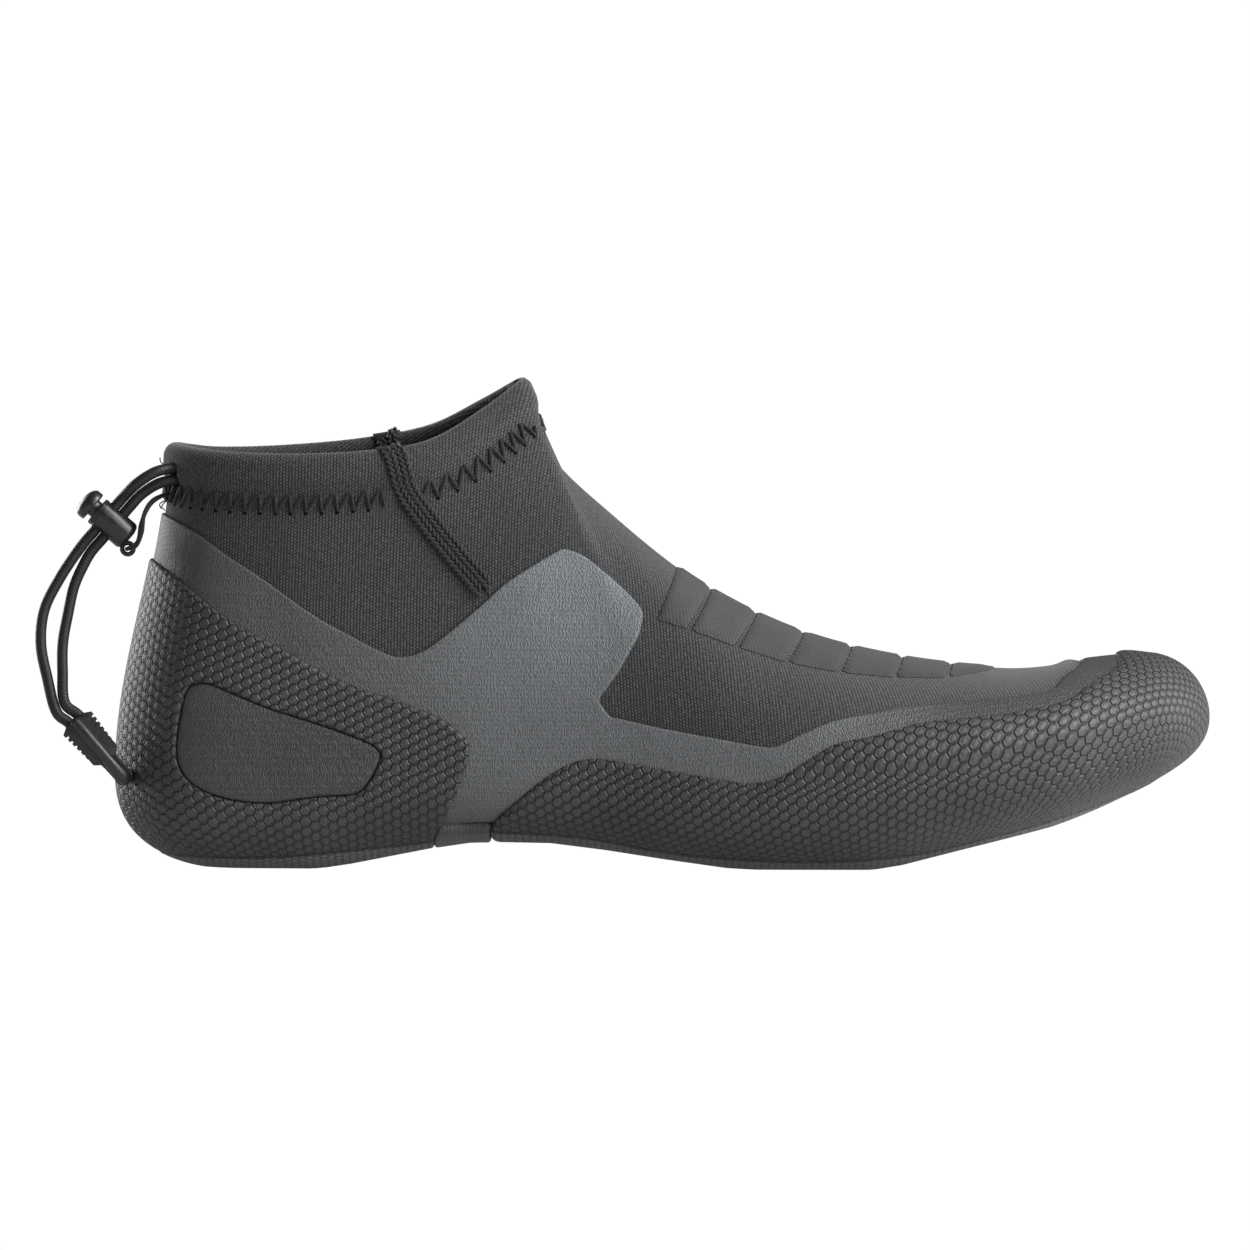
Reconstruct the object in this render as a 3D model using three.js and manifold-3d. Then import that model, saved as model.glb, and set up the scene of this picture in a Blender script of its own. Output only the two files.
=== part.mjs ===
// Right neoprene water boot with a drawcord collar, a cord lock and a heel clip.
// Units are millimetres; +X points to the toe, +Z up and -Y to the outer (lateral) side.
import * as THREE from "three";
import Module from "manifold-3d";

const wasm = await Module();
wasm.setup();

// ---- driving dimensions ----
const BOOT_LENGTH = 280;      // heel to toe over the rubber
const BALL_WIDTH = 98;        // widest place, over the rubber
const HEEL_WIDTH = 67;        // over the rubber
const COLLAR_HEIGHT = 125;    // top of the collar's front above the ground
const NEOPRENE_T = 3;         // quarter and vamp panels
const OVERLAY_T = 0.6;
const SIDE_RUBBER_T = 1.6;    // heel cup and toe cap walls
const OUTSOLE_T = 2.3;        // under the foot
const BRIDGE_T = 1.4;
const BOARD_T = 3;
const FOOTBED_T = 3;
const HEEL_PAD_T = 1;
const INSTEP_PAD_T = 1.3;
const PAD_GROOVE = 1;         // between two instep pads
const HEM_T = 1.3;            // each leg of the folded hem at its fullest
const HEM_HEIGHT = 13.5;
const HEM_FOLD = 2;           // solid fold above the cord channel
const PANEL_TUCK = 3.2;       // length of panel gripped between the hem's legs
const TAPE_W = 5.8;
const TAPE_T = 0.6;
const CORD_D = 2.8;
const TUNNEL_CORD_D = 2.6;    // drawn thinner where it is stretched round the collar
const TETHER_D = 1.1;
const LOCK_D = 7.6;
const LOCK_LENGTH = 11;
const BUTTON_D = 8;
const BUTTON_H = 2.6;
const BUTTON_TRAVEL = 1;
const SPRING_WIRE_D = 0.4;
const CLIP_LENGTH = 18.3;
const CLIP_WEB_T = 2.6;
const CLIP_COVER_T = 1.2;
const STUD_R = 1;
const STUD_HEAD_R = 1.7;

// ---- clearances ----
const LAYER_GAP = 0.3;        // between bonded layers
const EDGE_GAP = 0.3;         // between the edges of neighbouring pieces
const HOLLOW_GAP = 0.45;      // between the hem's legs and the panel or cord inside
const TAPE_LIFT = 0.6;        // from the hem's legs to the tape folded over it
const CORD_GAP = 0.15;        // round the cord in the lock
const EYELET_GAP = 0.9;       // round the cord in the eyelet
const SLIDE_GAP = 0.2;        // between the plunger and the barrel
const STUD_GAP = 0.15;        // between the stud and the clip's eye

// ---- proportions of the last ----
// Every table is drawn for a boot 280 long, 98 and 67 wide and 125 high, then stretched to the sizes above.
const KX = BOOT_LENGTH / 280;
const KZ = COLLAR_HEIGHT / 125;
const KBALL = BALL_WIDTH / 98;
const KHEEL = HEEL_WIDTH / 67;
const STATIONS = 16;
const THROAT = 7;             // the station at the front of the collar

// Widest outline [x, distance from the centre plane, z], from the heel's back to the toe's tip.
const OUTLINE_LATERAL = [
  [1.9, 0, 24], [4.5, 15, 24], [18, 28.5, 25], [45, 32, 26], [75, 33, 27], [98, 34, 28],
  [115, 36, 28], [130, 38.5, 28], [143, 41.5, 27], [157, 44.5, 27], [173, 47, 27], [190, 48, 28],
  [208, 47, 29], [228, 42.5, 32], [248, 33, 35], [267, 16, 38], [278, -8, 39],
];
const OUTLINE_MEDIAL = [
  [1.9, 0, 24], [4.5, 15, 24], [18, 28.5, 25], [45, 30.5, 27], [75, 28.5, 30], [98, 28, 32],
  [115, 29.5, 32], [130, 32, 31], [143, 35.5, 30], [157, 39, 29], [173, 42.5, 29], [190, 45.5, 30],
  [208, 47, 31], [228, 46.5, 33], [249, 41, 36], [268.5, 28, 38], [278, 8, 39],
];
// Collar edge, from the heel's back to the throat.
const COLLAR_LATERAL = [
  [14.2, 0, 108.4], [17, 12.5, 107.8], [26, 21.5, 106.6], [42, 26.5, 105.8], [62, 27, 106.4],
  [80, 22.5, 109.2], [94, 13, 117.5], [103.6, 0, 125],
];
const COLLAR_MEDIAL = [
  [14.2, 0, 108.4], [17, 12.5, 107.9], [26, 21, 107.2], [42, 25.5, 107.6], [62, 26, 109.4],
  [80, 21.5, 113], [93.5, 12, 119.8], [103.6, 0, 125],
];
// Ridge over the instep and the toes, from the throat to the toe's top.
const RIDGE = [
  [103.6, 0, 125], [110.6, 0, 106], [127.2, 0, 89.6], [149, 0, 72.6], [174.5, 0, 60],
  [201.5, 0, 53.2], [228, 0, 50.6], [246, 0, 52.2], [257.5, 1, 53.3], [264.5, 3, 52.7],
];
// How each section leaves its top: [along x, away from the centre plane, up].
const TOP_PULL = [
  [0, 0, -30], [0, 1, -30], [-0.5, 2, -29], [0, 2, -28], [1, 3, -27], [2, 7, -24], [3, 13, -15],
  [2, 15, -4], [2, 19, -3], [1, 23, -1], [0, 26, 0], [0, 29, -0.5], [0, 31, -1], [0, 29, -1],
  [1, 23, -1], [5, 12, -0.6], [9, -3, -1],
];
// Where each section starts under the foot, how square its lower corner is.
const SPINE_X = [32, 33, 38, 55, 80, 98, 113, 126, 138, 150, 165, 180, 196, 211, 224, 232, 235];
const SQUARENESS = [2.2, 2.3, 2.6, 3, 3, 2.9, 2.8, 2.8, 2.8, 2.9, 3, 3, 3, 2.9, 2.7, 2.5, 2.4];
// Underside of the outsole along the boot [x, z].
const UNDERSIDE = [
  [-20, -0.5], [10, -0.5], [50, -0.5], [60, 1], [81, 5.1], [90.5, 6.5], [97, 6.6], [111.5, 6.3],
  [125.8, 4.5], [140, 2.3], [156, 0.1], [164, -0.5], [192, -0.5], [200, 0.8], [214, 4.3],
  [238, 10], [256, 15.6], [269, 18.6], [290, 23],
];

// ---- side-view outlines [x, z] ----
const OVERLAY_TOP = [
  [-10, 97], [4, 92.5], [11.8, 90.6], [20.4, 86.3], [29.7, 79.8], [38.4, 74.2], [51.1, 65.2], [62, 59.1],
  [68.5, 55.8], [72.8, 54.4], [78.5, 55.5], [85.7, 60.5], [95, 68.3], [100.5, 73.2], [112.7, 80.7],
  [115.5, 81.3], [119.9, 79.6], [123.8, 76.5], [131, 70.1], [134.6, 65.7], [134.4, 62.4],
  [133.2, 58.6], [128.8, 50.8], [123.5, 43.5], [126.1, 39.6], [138.8, 36.8], [154.6, 33.9],
  [163.9, 32.3], [168.2, 32.3], [174.6, 35.3], [183.3, 38.6], [195.4, 40.7], [202.3, 41.9],
  [220.4, 43.1], [232.4, 44.3], [238.5, 45.6], [242.1, 48.8], [246.2, 51.3], [248.5, 54], [249, 62],
];
const HEEL_EDGE = [
  [-10, 88], [0, 84], [9.7, 79.1], [17.9, 73.4], [30.4, 63.4], [41.2, 57.6], [58.4, 48.3], [72.8, 43.2],
  [83.5, 38.9], [89.2, 34.6], [91, 31], [89.2, 23.9], [85.7, 16.7], [82.8, 12], [81.8, 9.7],
  [81.1, 5.1], [81, -6],
];
const HEEL_WINDOW = [
  [20.4, 46.4], [25.1, 47.6], [30.8, 45.3], [40.8, 41.3], [52.3, 37.7], [63.1, 33.8], [67.8, 31.3],
  [68.5, 28.4], [65.2, 22.3], [61.6, 19.8], [52.3, 19.1], [40.1, 17.6], [29.4, 18.7], [21.5, 22],
  [17.9, 27], [17.4, 32.7], [18.6, 40.7],
];
const FOREFOOT_EDGE = [
  [97.2, -6], [97, 6], [96.4, 12.4], [104.3, 19.6], [111.5, 24.9], [117.3, 27.9], [123.8, 28.9], [133.1, 27.4],
  [143.8, 25.6], [154.6, 23.9], [161.8, 23.1], [168.9, 24.6], [176.1, 28.9], [183.3, 32.8],
  [192.5, 34.6], [204.2, 37.5], [215, 38.6], [229.3, 40], [241.4, 42.7], [246.8, 46], [250, 47.7],
  [253.9, 49.7], [256, 52], [255, 55], [254.5, 62],
];
// Side seam, from the hem down under the overlay to the sole.
const SEAM = [
  [58, 127], [65.5, 115.5], [71.1, 106.9], [74.9, 96.4], [81.1, 87.7], [88.2, 79], [95.6, 70.1],
  [103, 55], [108, 38], [110, 20], [110, -6],
];
const TAPE_END = [95.6, 70.1];
// Instep pads: the boundary between two neighbours runs from the ridge [x, z] to the lower edge [x, z].
const PAD_LINES = [
  [[146.5, 84], [137.6, 63.6]], [[155, 76], [146.2, 60.9]], [[167, 70], [158.2, 56.6]],
  [[179.3, 65], [170.6, 52.6]], [[191, 61], [184, 50]], [[204.6, 59], [198, 48.6]],
  [[217, 57], [211.5, 48.3]], [[227.2, 56], [224.8, 50.2]],
];

// ---- small helpers ----
const closedRing = (points) => new THREE.CatmullRomCurve3(points, true, "catmullrom", 0.5);
const openCurve = (points) => new THREE.CatmullRomCurve3(points, false, "catmullrom", 0.5);
const smooth = (a, b, v) => THREE.MathUtils.smoothstep(v, a, b);

// Piecewise linear look-up in a table of [key, value].
function lookup(table, key) {
  if (key <= table[0][0]) return table[0][1];
  for (let i = 1; i < table.length; i++) {
    const [k1, v1] = table[i];
    const [k0, v0] = table[i - 1];
    if (key <= k1) return v0 + ((v1 - v0) * (key - k0)) / (k1 - k0);
  }
  return table[table.length - 1][1];
}

// Value of a per-station list at a fractional station.
function atStation(list, u) {
  const i = Math.min(STATIONS - 1, Math.floor(u));
  return list[i] + (list[i + 1] - list[i]) * (u - i);
}

const widthScale = (u) => KHEEL + (KBALL - KHEEL) * smooth(4, 10, u);

// side is -1 on the lateral side and +1 on the medial side.
const place = (p, u, side) => new THREE.Vector3(p[0] * KX, p[1] * side * widthScale(u), p[2] * KZ);

function ringOf(lateral, medial) {
  const out = lateral.map((p, i) => place(p, i, -1));
  const back = medial.map((p, i) => place(p, i, 1)).slice(1, -1).reverse();
  return closedRing([...out, ...back]);
}
const outlineRing = ringOf(OUTLINE_LATERAL, OUTLINE_MEDIAL);
const collarRing = ringOf(COLLAR_LATERAL, COLLAR_MEDIAL);
const pullRing = ringOf(TOP_PULL, TOP_PULL);
const ridgeCurve = openCurve(RIDGE.map((p) => new THREE.Vector3(p[0] * KX, p[1], p[2] * KZ)));

function onRing(ring, u, side, half) {
  const f = u / (2 * half);
  return ring.getPoint(side < 0 ? f : (1 - f) % 1);
}
function topOf(u, side) {
  if (u <= THROAT) return onRing(collarRing, u, side, THROAT);
  return ridgeCurve.getPoint((u - THROAT) / (STATIONS - THROAT));
}
const underside = (x) => lookup(UNDERSIDE, x / KX) * KZ + OUTSOLE_T + LAYER_GAP;

// The last's surface, the outside of the neoprene. t runs 0..1 from the spine to the widest line,
// 1..2 up to the collar or the ridge, and past 2 it goes straight on by the millimetres in "rise".
function lastPoint(u, t, side, rise = 0) {
  const w = onRing(outlineRing, u, side, STATIONS);
  if (t <= 1) {
    const n = atStation(SQUARENESS, u);
    const angle = (t * Math.PI) / 2;
    const h = Math.sin(angle) ** (2 / n);
    const v = 1 - Math.max(0, Math.cos(angle)) ** (2 / n);
    const kx = atStation(SPINE_X, u) * KX;
    const x = kx + (w.x - kx) * h;
    const z = underside(x);
    return new THREE.Vector3(x, w.y * h, z + (w.z - z) * v);
  }
  const top = topOf(u, side);
  const pull = onRing(pullRing, u, side, STATIONS);
  const lift = new THREE.Vector3(0, 0, 0.36 * (top.z - w.z));
  const curve = new THREE.CubicBezierCurve3(w, w.clone().add(lift), top.clone().add(pull), top);
  const p = curve.getPoint(t - 1);
  if (rise > 0) p.addScaledVector(pull.normalize(), -rise);
  return p;
}

// A net of the last's surface between the given stations and rows, both sides joined where they meet.
function net(stations, rows) {
  const points = [];
  const keys = new Map();
  const faces = [];
  const index = (u, row, side) => {
    const p = lastPoint(u, Math.min(2, row), side, Math.max(0, row - 2));
    const key = [p.x, p.y, p.z].map((v) => Math.round(v * 500)).join(",");
    if (!keys.has(key)) {
      keys.set(key, points.length);
      points.push(p);
    }
    return keys.get(key);
  };
  for (const side of [-1, 1]) {
    for (let i = 0; i + 1 < stations.length; i++) {
      for (let j = 0; j + 1 < rows.length; j++) {
        const a = index(stations[i], rows[j], side);
        const b = index(stations[i + 1], rows[j], side);
        const c = index(stations[i + 1], rows[j + 1], side);
        const d = index(stations[i], rows[j + 1], side);
        const quads = side < 0 ? [[a, b, c], [a, c, d]] : [[a, c, b], [a, d, c]];
        for (const f of quads) {
          if (f[0] !== f[1] && f[1] !== f[2] && f[2] !== f[0]) faces.push(f);
        }
      }
    }
  }
  const normals = points.map(() => new THREE.Vector3());
  for (const [a, b, c] of faces) {
    const e1 = points[b].clone().sub(points[a]);
    const e2 = points[c].clone().sub(points[a]);
    const n = e1.cross(e2);
    for (const i of [a, b, c]) normals[i].add(n);
  }
  normals.forEach((n) => n.normalize());
  return { points, normals, faces };
}

// A solid between two offsets of a net; each offset is a number or a function of the point.
function layer({ points, normals, faces }, outer, inner) {
  const value = (d, p) => (typeof d === "function" ? d(p) : d);
  const count = points.length;
  const data = new Float32Array(count * 6);
  points.forEach((p, i) => {
    const a = p.clone().addScaledVector(normals[i], value(outer, p));
    const b = p.clone().addScaledVector(normals[i], value(inner, p));
    a.toArray(data, i * 3);
    b.toArray(data, (count + i) * 3);
  });
  const edges = new Set();
  for (const [a, b, c] of faces) {
    for (const e of [[a, b], [b, c], [c, a]]) edges.add(e.join(":"));
  }
  const tris = [];
  for (const [a, b, c] of faces) {
    tris.push(a, b, c, count + c, count + b, count + a);
    for (const [p, q] of [[a, b], [b, c], [c, a]]) {
      if (edges.has(q + ":" + p)) continue;
      tris.push(q, p, count + p, q, count + p, count + q);
    }
  }
  const mesh = new wasm.Mesh({ numProp: 3, vertProperties: data, triVerts: new Uint32Array(tris) });
  mesh.merge();
  return new wasm.Manifold(mesh);
}

// A three.js geometry as a solid for the boolean steps.
function solid(geometry) {
  const g = geometry.index ? geometry.toNonIndexed() : geometry;
  const from = g.getAttribute("position");
  const keys = new Map();
  const data = [];
  const tris = [];
  for (let i = 0; i < from.count; i += 3) {
    const f = [0, 1, 2].map((k) => {
      const p = [from.getX(i + k), from.getY(i + k), from.getZ(i + k)];
      const key = p.map((v) => Math.round(v * 1e4)).join(",");
      if (!keys.has(key)) {
        keys.set(key, data.length / 3);
        data.push(...p);
      }
      return keys.get(key);
    });
    if (f[0] !== f[1] && f[1] !== f[2] && f[2] !== f[0]) tris.push(...f);
  }
  return new wasm.Manifold(
    new wasm.Mesh({
      numProp: 3,
      vertProperties: new Float32Array(data),
      triVerts: new Uint32Array(tris),
    }),
  );
}
const box = (x0, x1, y0, y1, z0, z1) =>
  solid(
    new THREE.BoxGeometry(x1 - x0, y1 - y0, z1 - z0)
      .translate((x0 + x1) / 2, (y0 + y1) / 2, (z0 + z1) / 2),
  );

// A side-view outline carried straight through the boot, or through one side of it.
function through(outline, side = 0, grow = 0) {
  const flat = outline.map((p) => new THREE.Vector2(p[0] * KX, p[1] * KZ));
  const shape = new THREE.Shape(grow ? grown(flat, grow) : flat);
  const near = side === 0 ? -120 : EDGE_GAP / 2;
  const depth = 120 - near;
  const g = new THREE.ExtrudeGeometry(shape, { depth, bevelEnabled: false, curveSegments: 1 });
  g.rotateX(Math.PI / 2);
  g.translate(0, side < 0 ? -near : 120, 0);
  return solid(g);
}
// The outline moved outwards by "by" (inwards if negative).
function grown(points, by) {
  const area = THREE.ShapeUtils.area(points);
  const n = points.length;
  return points.map((p, i) => {
    const a = points[(i + n - 1) % n];
    const b = points[(i + 1) % n];
    const d1 = p.clone().sub(a).normalize();
    const d2 = b.clone().sub(p).normalize();
    const normal = new THREE.Vector2(d1.y + d2.y, -d1.x - d2.x).normalize();
    const turn = Math.max(0.5, Math.sqrt((1 + d1.dot(d2)) / 2));
    return p.clone().addScaledVector(normal, ((area > 0 ? 1 : -1) * by) / turn);
  });
}
// A thin wall along a side-view line, used to part two pieces.
function wall(line, width) {
  const pts = line.map((p) => new THREE.Vector2(p[0] * KX, p[1] * KZ));
  const sideways = (k) => {
    const a = pts[Math.max(0, k - 1)];
    const b = pts[Math.min(pts.length - 1, k + 1)];
    const d = b.clone().sub(a).normalize();
    return new THREE.Vector2(-d.y, d.x).multiplyScalar(width / 2);
  };
  const left = pts.map((p, k) => p.clone().add(sideways(k)));
  const right = pts.map((p, k) => p.clone().sub(sideways(k)));
  const g = new THREE.ExtrudeGeometry(new THREE.Shape([...left, ...right.reverse()]), {
    depth: 240,
    bevelEnabled: false,
  });
  g.rotateX(Math.PI / 2).translate(0, 120, 0);
  return solid(g);
}

// ---- the collar's own directions ----
const RING_STEPS = Math.round(56 * KX);
const collarSamples = [...Array(RING_STEPS)].map((_, i) => collarRing.getPoint(i / RING_STEPS));
const collarMiddle = collarSamples
  .reduce((s, p) => s.add(p), new THREE.Vector3())
  .divideScalar(RING_STEPS);
// Shortest way from a point to the collar's edge.
function toCollar(p) {
  let best = Infinity;
  const line = new THREE.Line3();
  const near = new THREE.Vector3();
  for (let i = 0; i < RING_STEPS; i++) {
    line.set(collarSamples[i], collarSamples[(i + 1) % RING_STEPS]);
    line.closestPointToPoint(p, true, near);
    best = Math.min(best, near.distanceTo(p));
  }
  return best;
}
// Down the surface, square to the collar's edge, at a fraction of the way round.
function collarFrame(f) {
  const p = collarRing.getPoint(f);
  const along = collarRing.getTangent(f);
  const u = f <= 0.5 ? f * 2 * THROAT : (1 - f) * 2 * THROAT;
  const side = f <= 0.5 ? -1 : 1;
  const throatBlend = smooth(5.6, 7, u);
  const pull = onRing(pullRing, u, side, STATIONS).normalize();
  const ridge = ridgeCurve.getTangent(0.03);
  const down = pull.lerp(ridge, throatBlend);
  down.addScaledVector(along, -down.dot(along)).normalize();
  const out = new THREE.Vector3().crossVectors(down, along).normalize();
  if (out.dot(p.clone().sub(collarMiddle).setZ(0)) < 0) out.negate();
  return { p, down, out };
}
// Everything above the line that lies "drop" below the collar's edge.
function aboveCollar(drop) {
  const inner = [];
  const outer = [];
  for (let i = 0; i < RING_STEPS; i++) {
    const { p, down } = collarFrame(i / RING_STEPS);
    const q = p.clone().addScaledVector(down, drop);
    inner.push(q);
    outer.push(collarMiddle.clone().lerp(q, 1.7).setZ(q.z));
  }
  const low = collarMiddle.clone().setZ(collarMiddle.z - drop);
  const positions = [low, ...inner, ...outer, ...outer.map((p) => p.clone().setZ(190)),
    low.clone().setZ(190)];
  const tris = [];
  const last = positions.length - 1;
  for (let i = 0; i < RING_STEPS; i++) {
    const j = (i + 1) % RING_STEPS;
    const [a, b] = [1 + i, 1 + j];
    const [c, d] = [1 + RING_STEPS + i, 1 + RING_STEPS + j];
    const [e, f] = [1 + 2 * RING_STEPS + i, 1 + 2 * RING_STEPS + j];
    tris.push(0, a, b, a, c, d, a, d, b, c, e, f, c, f, d, last, f, e);
  }
  const data = new Float32Array(positions.length * 3);
  positions.forEach((p, i) => p.toArray(data, i * 3));
  const made = new wasm.Manifold(
    new wasm.Mesh({ numProp: 3, vertProperties: data, triVerts: new Uint32Array(tris) }),
  );
  if (made.volume() > 0) return made;
  for (let i = 0; i < tris.length; i += 3) [tris[i + 1], tris[i + 2]] = [tris[i + 2], tris[i + 1]];
  return new wasm.Manifold(
    new wasm.Mesh({ numProp: 3, vertProperties: data, triVerts: new Uint32Array(tris) }),
  );
}

// ---- the nets ----
const ends = [0, 0.4, 0.8, 1.4, 2];
const middle = [2.7, 3.4, 4.2, 5, 5.7, 6.4, 6.8, 7, 7.15, 7.5, 8, 9, 10, 11, 12, 13];
const toes = [14, 14.6, 15.1, 15.5, 16];
const ALL = [...ends, ...middle, ...toes];
const LOW_ROWS = [0, 0.25, 0.44, 0.56, 0.7, 0.85, 1];
const HIGH_ROWS = [1.2, 1.4, 1.6, 1.74, 1.87, 2];
const panelNet = net(ALL, [0.56, 0.7, 0.85, 1, ...HIGH_ROWS]);
const rubberNet = net(ALL, [...LOW_ROWS, ...HIGH_ROWS]);
const boardNet = net(ALL, [0, 0.25, 0.44]);
const footbedNet = net(ALL, [0, 0.25, 0.44, 0.56, 0.7, 0.85]);
const COLLAR_ROWS = [1.4, 1.6, 1.74, 1.87, 1.94, 1.98, 2];
const hemNet = net(ALL.filter((u) => u <= 9), COLLAR_ROWS);
const padNet = net([8, 9, 10, 11, 12, 13, 14], [...HIGH_ROWS]);
const tapeStations = ALL.filter((u) => u >= 2.7 && u <= 7);

// ---- panels, hem and tape ----
const seamCut = wall(SEAM, EDGE_GAP);
const heelPrism = through([...HEEL_EDGE, [-30, -6], [-30, 88]]);
const heelPrismGrown = through([...HEEL_EDGE, [-30, -6], [-30, 88]], 0, EDGE_GAP);
const forefootPrism = through([...FOREFOOT_EDGE, [310, 62], [310, -6]]);
const forefootPrismGrown = through([...FOREFOOT_EDGE, [310, 62], [310, -6]], 0, EDGE_GAP);

const panels = layer(panelNet, 0, -NEOPRENE_T)
  .subtract(aboveCollar(HEM_HEIGHT - PANEL_TUCK))
  .subtract(seamCut)
  .decompose()
  .sort((a, b) => b.volume() - a.volume());
const [vamp, quarter] = panels[0].boundingBox().max[0] > panels[1].boundingBox().max[0]
  ? [panels[0], panels[1]]
  : [panels[1], panels[0]];

const HEM_PROFILE = [[0, 0.2], [0.8, 0.62], [2, 0.88], [5, 1], [9, 1], [12, 0.88], [14, 0.7], [60, 0.7]];
const hemFull = (p) => HEM_T * lookup(HEM_PROFILE, toCollar(p));
const hemOuter = (p) => HOLLOW_GAP + hemFull(p);
const hemInner = (p) => -NEOPRENE_T - HOLLOW_GAP - hemFull(p);
const channel = layer(hemNet, HOLLOW_GAP, -NEOPRENE_T - HOLLOW_GAP).subtract(aboveCollar(HEM_FOLD));
const EYELET = new THREE.Vector3(15.5 * KX, -13.5 * KHEEL, 99.8 * KZ);
const EYELET_OUT = new THREE.Vector3(-0.78, -0.62, 0).normalize();
const slit = solid(new THREE.CylinderGeometry(CORD_D / 2 + EYELET_GAP, CORD_D / 2 + EYELET_GAP, 7, 12))
  .scale([1, 1, 1.8])
  .rotate([0, 0, (Math.atan2(EYELET_OUT.y, EYELET_OUT.x) * 180) / Math.PI - 90])
  .translate([EYELET.x + EYELET_OUT.x, EYELET.y + EYELET_OUT.y, EYELET.z]);
const hems = layer(hemNet, hemOuter, hemInner)
  .intersect(aboveCollar(HEM_HEIGHT))
  .subtract(channel)
  .subtract(seamCut)
  .subtract(slit)
  .decompose()
  .sort((a, b) => b.boundingBox().max[0] - a.boundingBox().max[0]);
const [hemFront, hemRear] = [hems[0], hems[hems.length - 1]];

function tapeOn(side) {
  const lower = Math.min(1, KZ); // a lower collar spreads the net's rows less far down
  const over = (p) => {
    const d = toCollar(p);
    const onHem = 1 - smooth(HEM_HEIGHT / lower, (HEM_HEIGHT + 2.5) / lower, d);
    return onHem * hemFull(p);
  };
  const rows = [1.2, ...COLLAR_ROWS];
  const tallNet = net(tapeStations, [...rows, 2 + TAPE_LIFT + TAPE_T]);
  const shortNet = net(tapeStations, [...rows, 2 + TAPE_LIFT]);
  const outer = (p) => LAYER_GAP + TAPE_LIFT + TAPE_T + over(p);
  const inner = (p) => -NEOPRENE_T - LAYER_GAP - TAPE_LIFT - TAPE_T - over(p);
  const fold = layer(tallNet, outer, inner);
  const core = layer(shortNet, (p) => outer(p) - TAPE_T, (p) => inner(p) + TAPE_T);
  const line = SEAM.slice(0, 7);
  const mask = wall(line, TAPE_W).intersect(
    side < 0 ? box(-50, 300, -120, 0, -20, 200) : box(-50, 300, 0, 120, -20, 200),
  );
  const pieces = fold.subtract(core).intersect(mask);
  return pieces.decompose().sort((a, b) => b.volume() - a.volume())[0];
}

// ---- overlays ----
function overlayOn(side) {
  const outline = [...OVERLAY_TOP, [310, 62], [310, 11], [97, 11], [82, 11], [-30, 11], [-30, 97]];
  return layer(panelNet, LAYER_GAP + OVERLAY_T, LAYER_GAP)
    .intersect(through(outline, side))
    .subtract(heelPrismGrown)
    .subtract(forefootPrismGrown)
    .subtract(tapeMask)
    .decompose()
    .sort((a, b) => b.volume() - a.volume())[0];
}
const tapeMask = wall(SEAM.slice(1, 7), TAPE_W + 2 * EDGE_GAP);

// ---- rubber ----
const ground = box(-60, 360, -120, 120, -30, 0);
const rubberOuter = (p) => {
  const low = 1 - smooth(6 * KZ, 20 * KZ, p.z - underside(p.x));
  return LAYER_GAP + SIDE_RUBBER_T + (OUTSOLE_T - SIDE_RUBBER_T) * low;
};
const rubber = layer(rubberNet, rubberOuter, LAYER_GAP);
const CLIP_SIDE = -20.8 * KHEEL;           // middle plane of the clip
const PIVOT = new THREE.Vector3(3.1 * KX, CLIP_SIDE, 23.8 * KZ);
const studLength = 7.6;
const stud = solid(
  new THREE.CylinderGeometry(STUD_R, STUD_R, studLength, 20)
    .translate(PIVOT.x, CLIP_SIDE - CLIP_WEB_T / 2 - STUD_GAP - 0.2 + studLength / 2, PIVOT.z),
).add(
  solid(
    new THREE.CylinderGeometry(STUD_HEAD_R, STUD_HEAD_R - 0.4, 0.8, 20)
      .translate(PIVOT.x, CLIP_SIDE - CLIP_WEB_T / 2 - STUD_GAP - 0.4, PIVOT.z),
  ),
);
const heelWindow = through(HEEL_WINDOW);
const heelOutsole = rubber.intersect(heelPrism).subtract(heelWindow).subtract(ground).add(stud);
const forefootOutsole = rubber.intersect(forefootPrism).subtract(ground);
const bridge = layer(rubberNet, LAYER_GAP + BRIDGE_T, LAYER_GAP)
  .intersect(through([[76, -6], [102, -6], [102, 10.7], [76, 10.7]]))
  .subtract(heelPrismGrown)
  .subtract(forefootPrismGrown);
const windowInset = new THREE.Shape(
  grown(HEEL_WINDOW.map((p) => new THREE.Vector2(p[0] * KX, p[1] * KZ)), -EDGE_GAP),
);
function heelPad(side) {
  const g = new THREE.ExtrudeGeometry(windowInset, { depth: 120, bevelEnabled: false });
  g.rotateX(Math.PI / 2).translate(0, side < 0 ? -2 : 122, 0);
  return layer(rubberNet, LAYER_GAP + HEEL_PAD_T, LAYER_GAP).intersect(solid(g));
}

// ---- instep pads ----
function instepPad(k) {
  const [a, b] = [PAD_LINES[k], PAD_LINES[k + 1]];
  const inset = (p, q, dir) => {
    const d = new THREE.Vector2(q[0] - p[0], q[1] - p[1]).normalize();
    return [d.y * dir * (PAD_GROOVE / 2), -d.x * dir * (PAD_GROOVE / 2)];
  };
  const sa = inset(a[1], a[0], 1);
  const sb = inset(b[1], b[0], -1);
  const outline = [
    [a[1][0] + sa[0], a[1][1] + sa[1]], [b[1][0] + sb[0], b[1][1] + sb[1]],
    [b[0][0] + sb[0], b[0][1] + sb[1]], [a[0][0] + sa[0], a[0][1] + sa[1]],
  ];
  return layer(padNet, LAYER_GAP + INSTEP_PAD_T, LAYER_GAP).intersect(through(outline));
}

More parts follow.
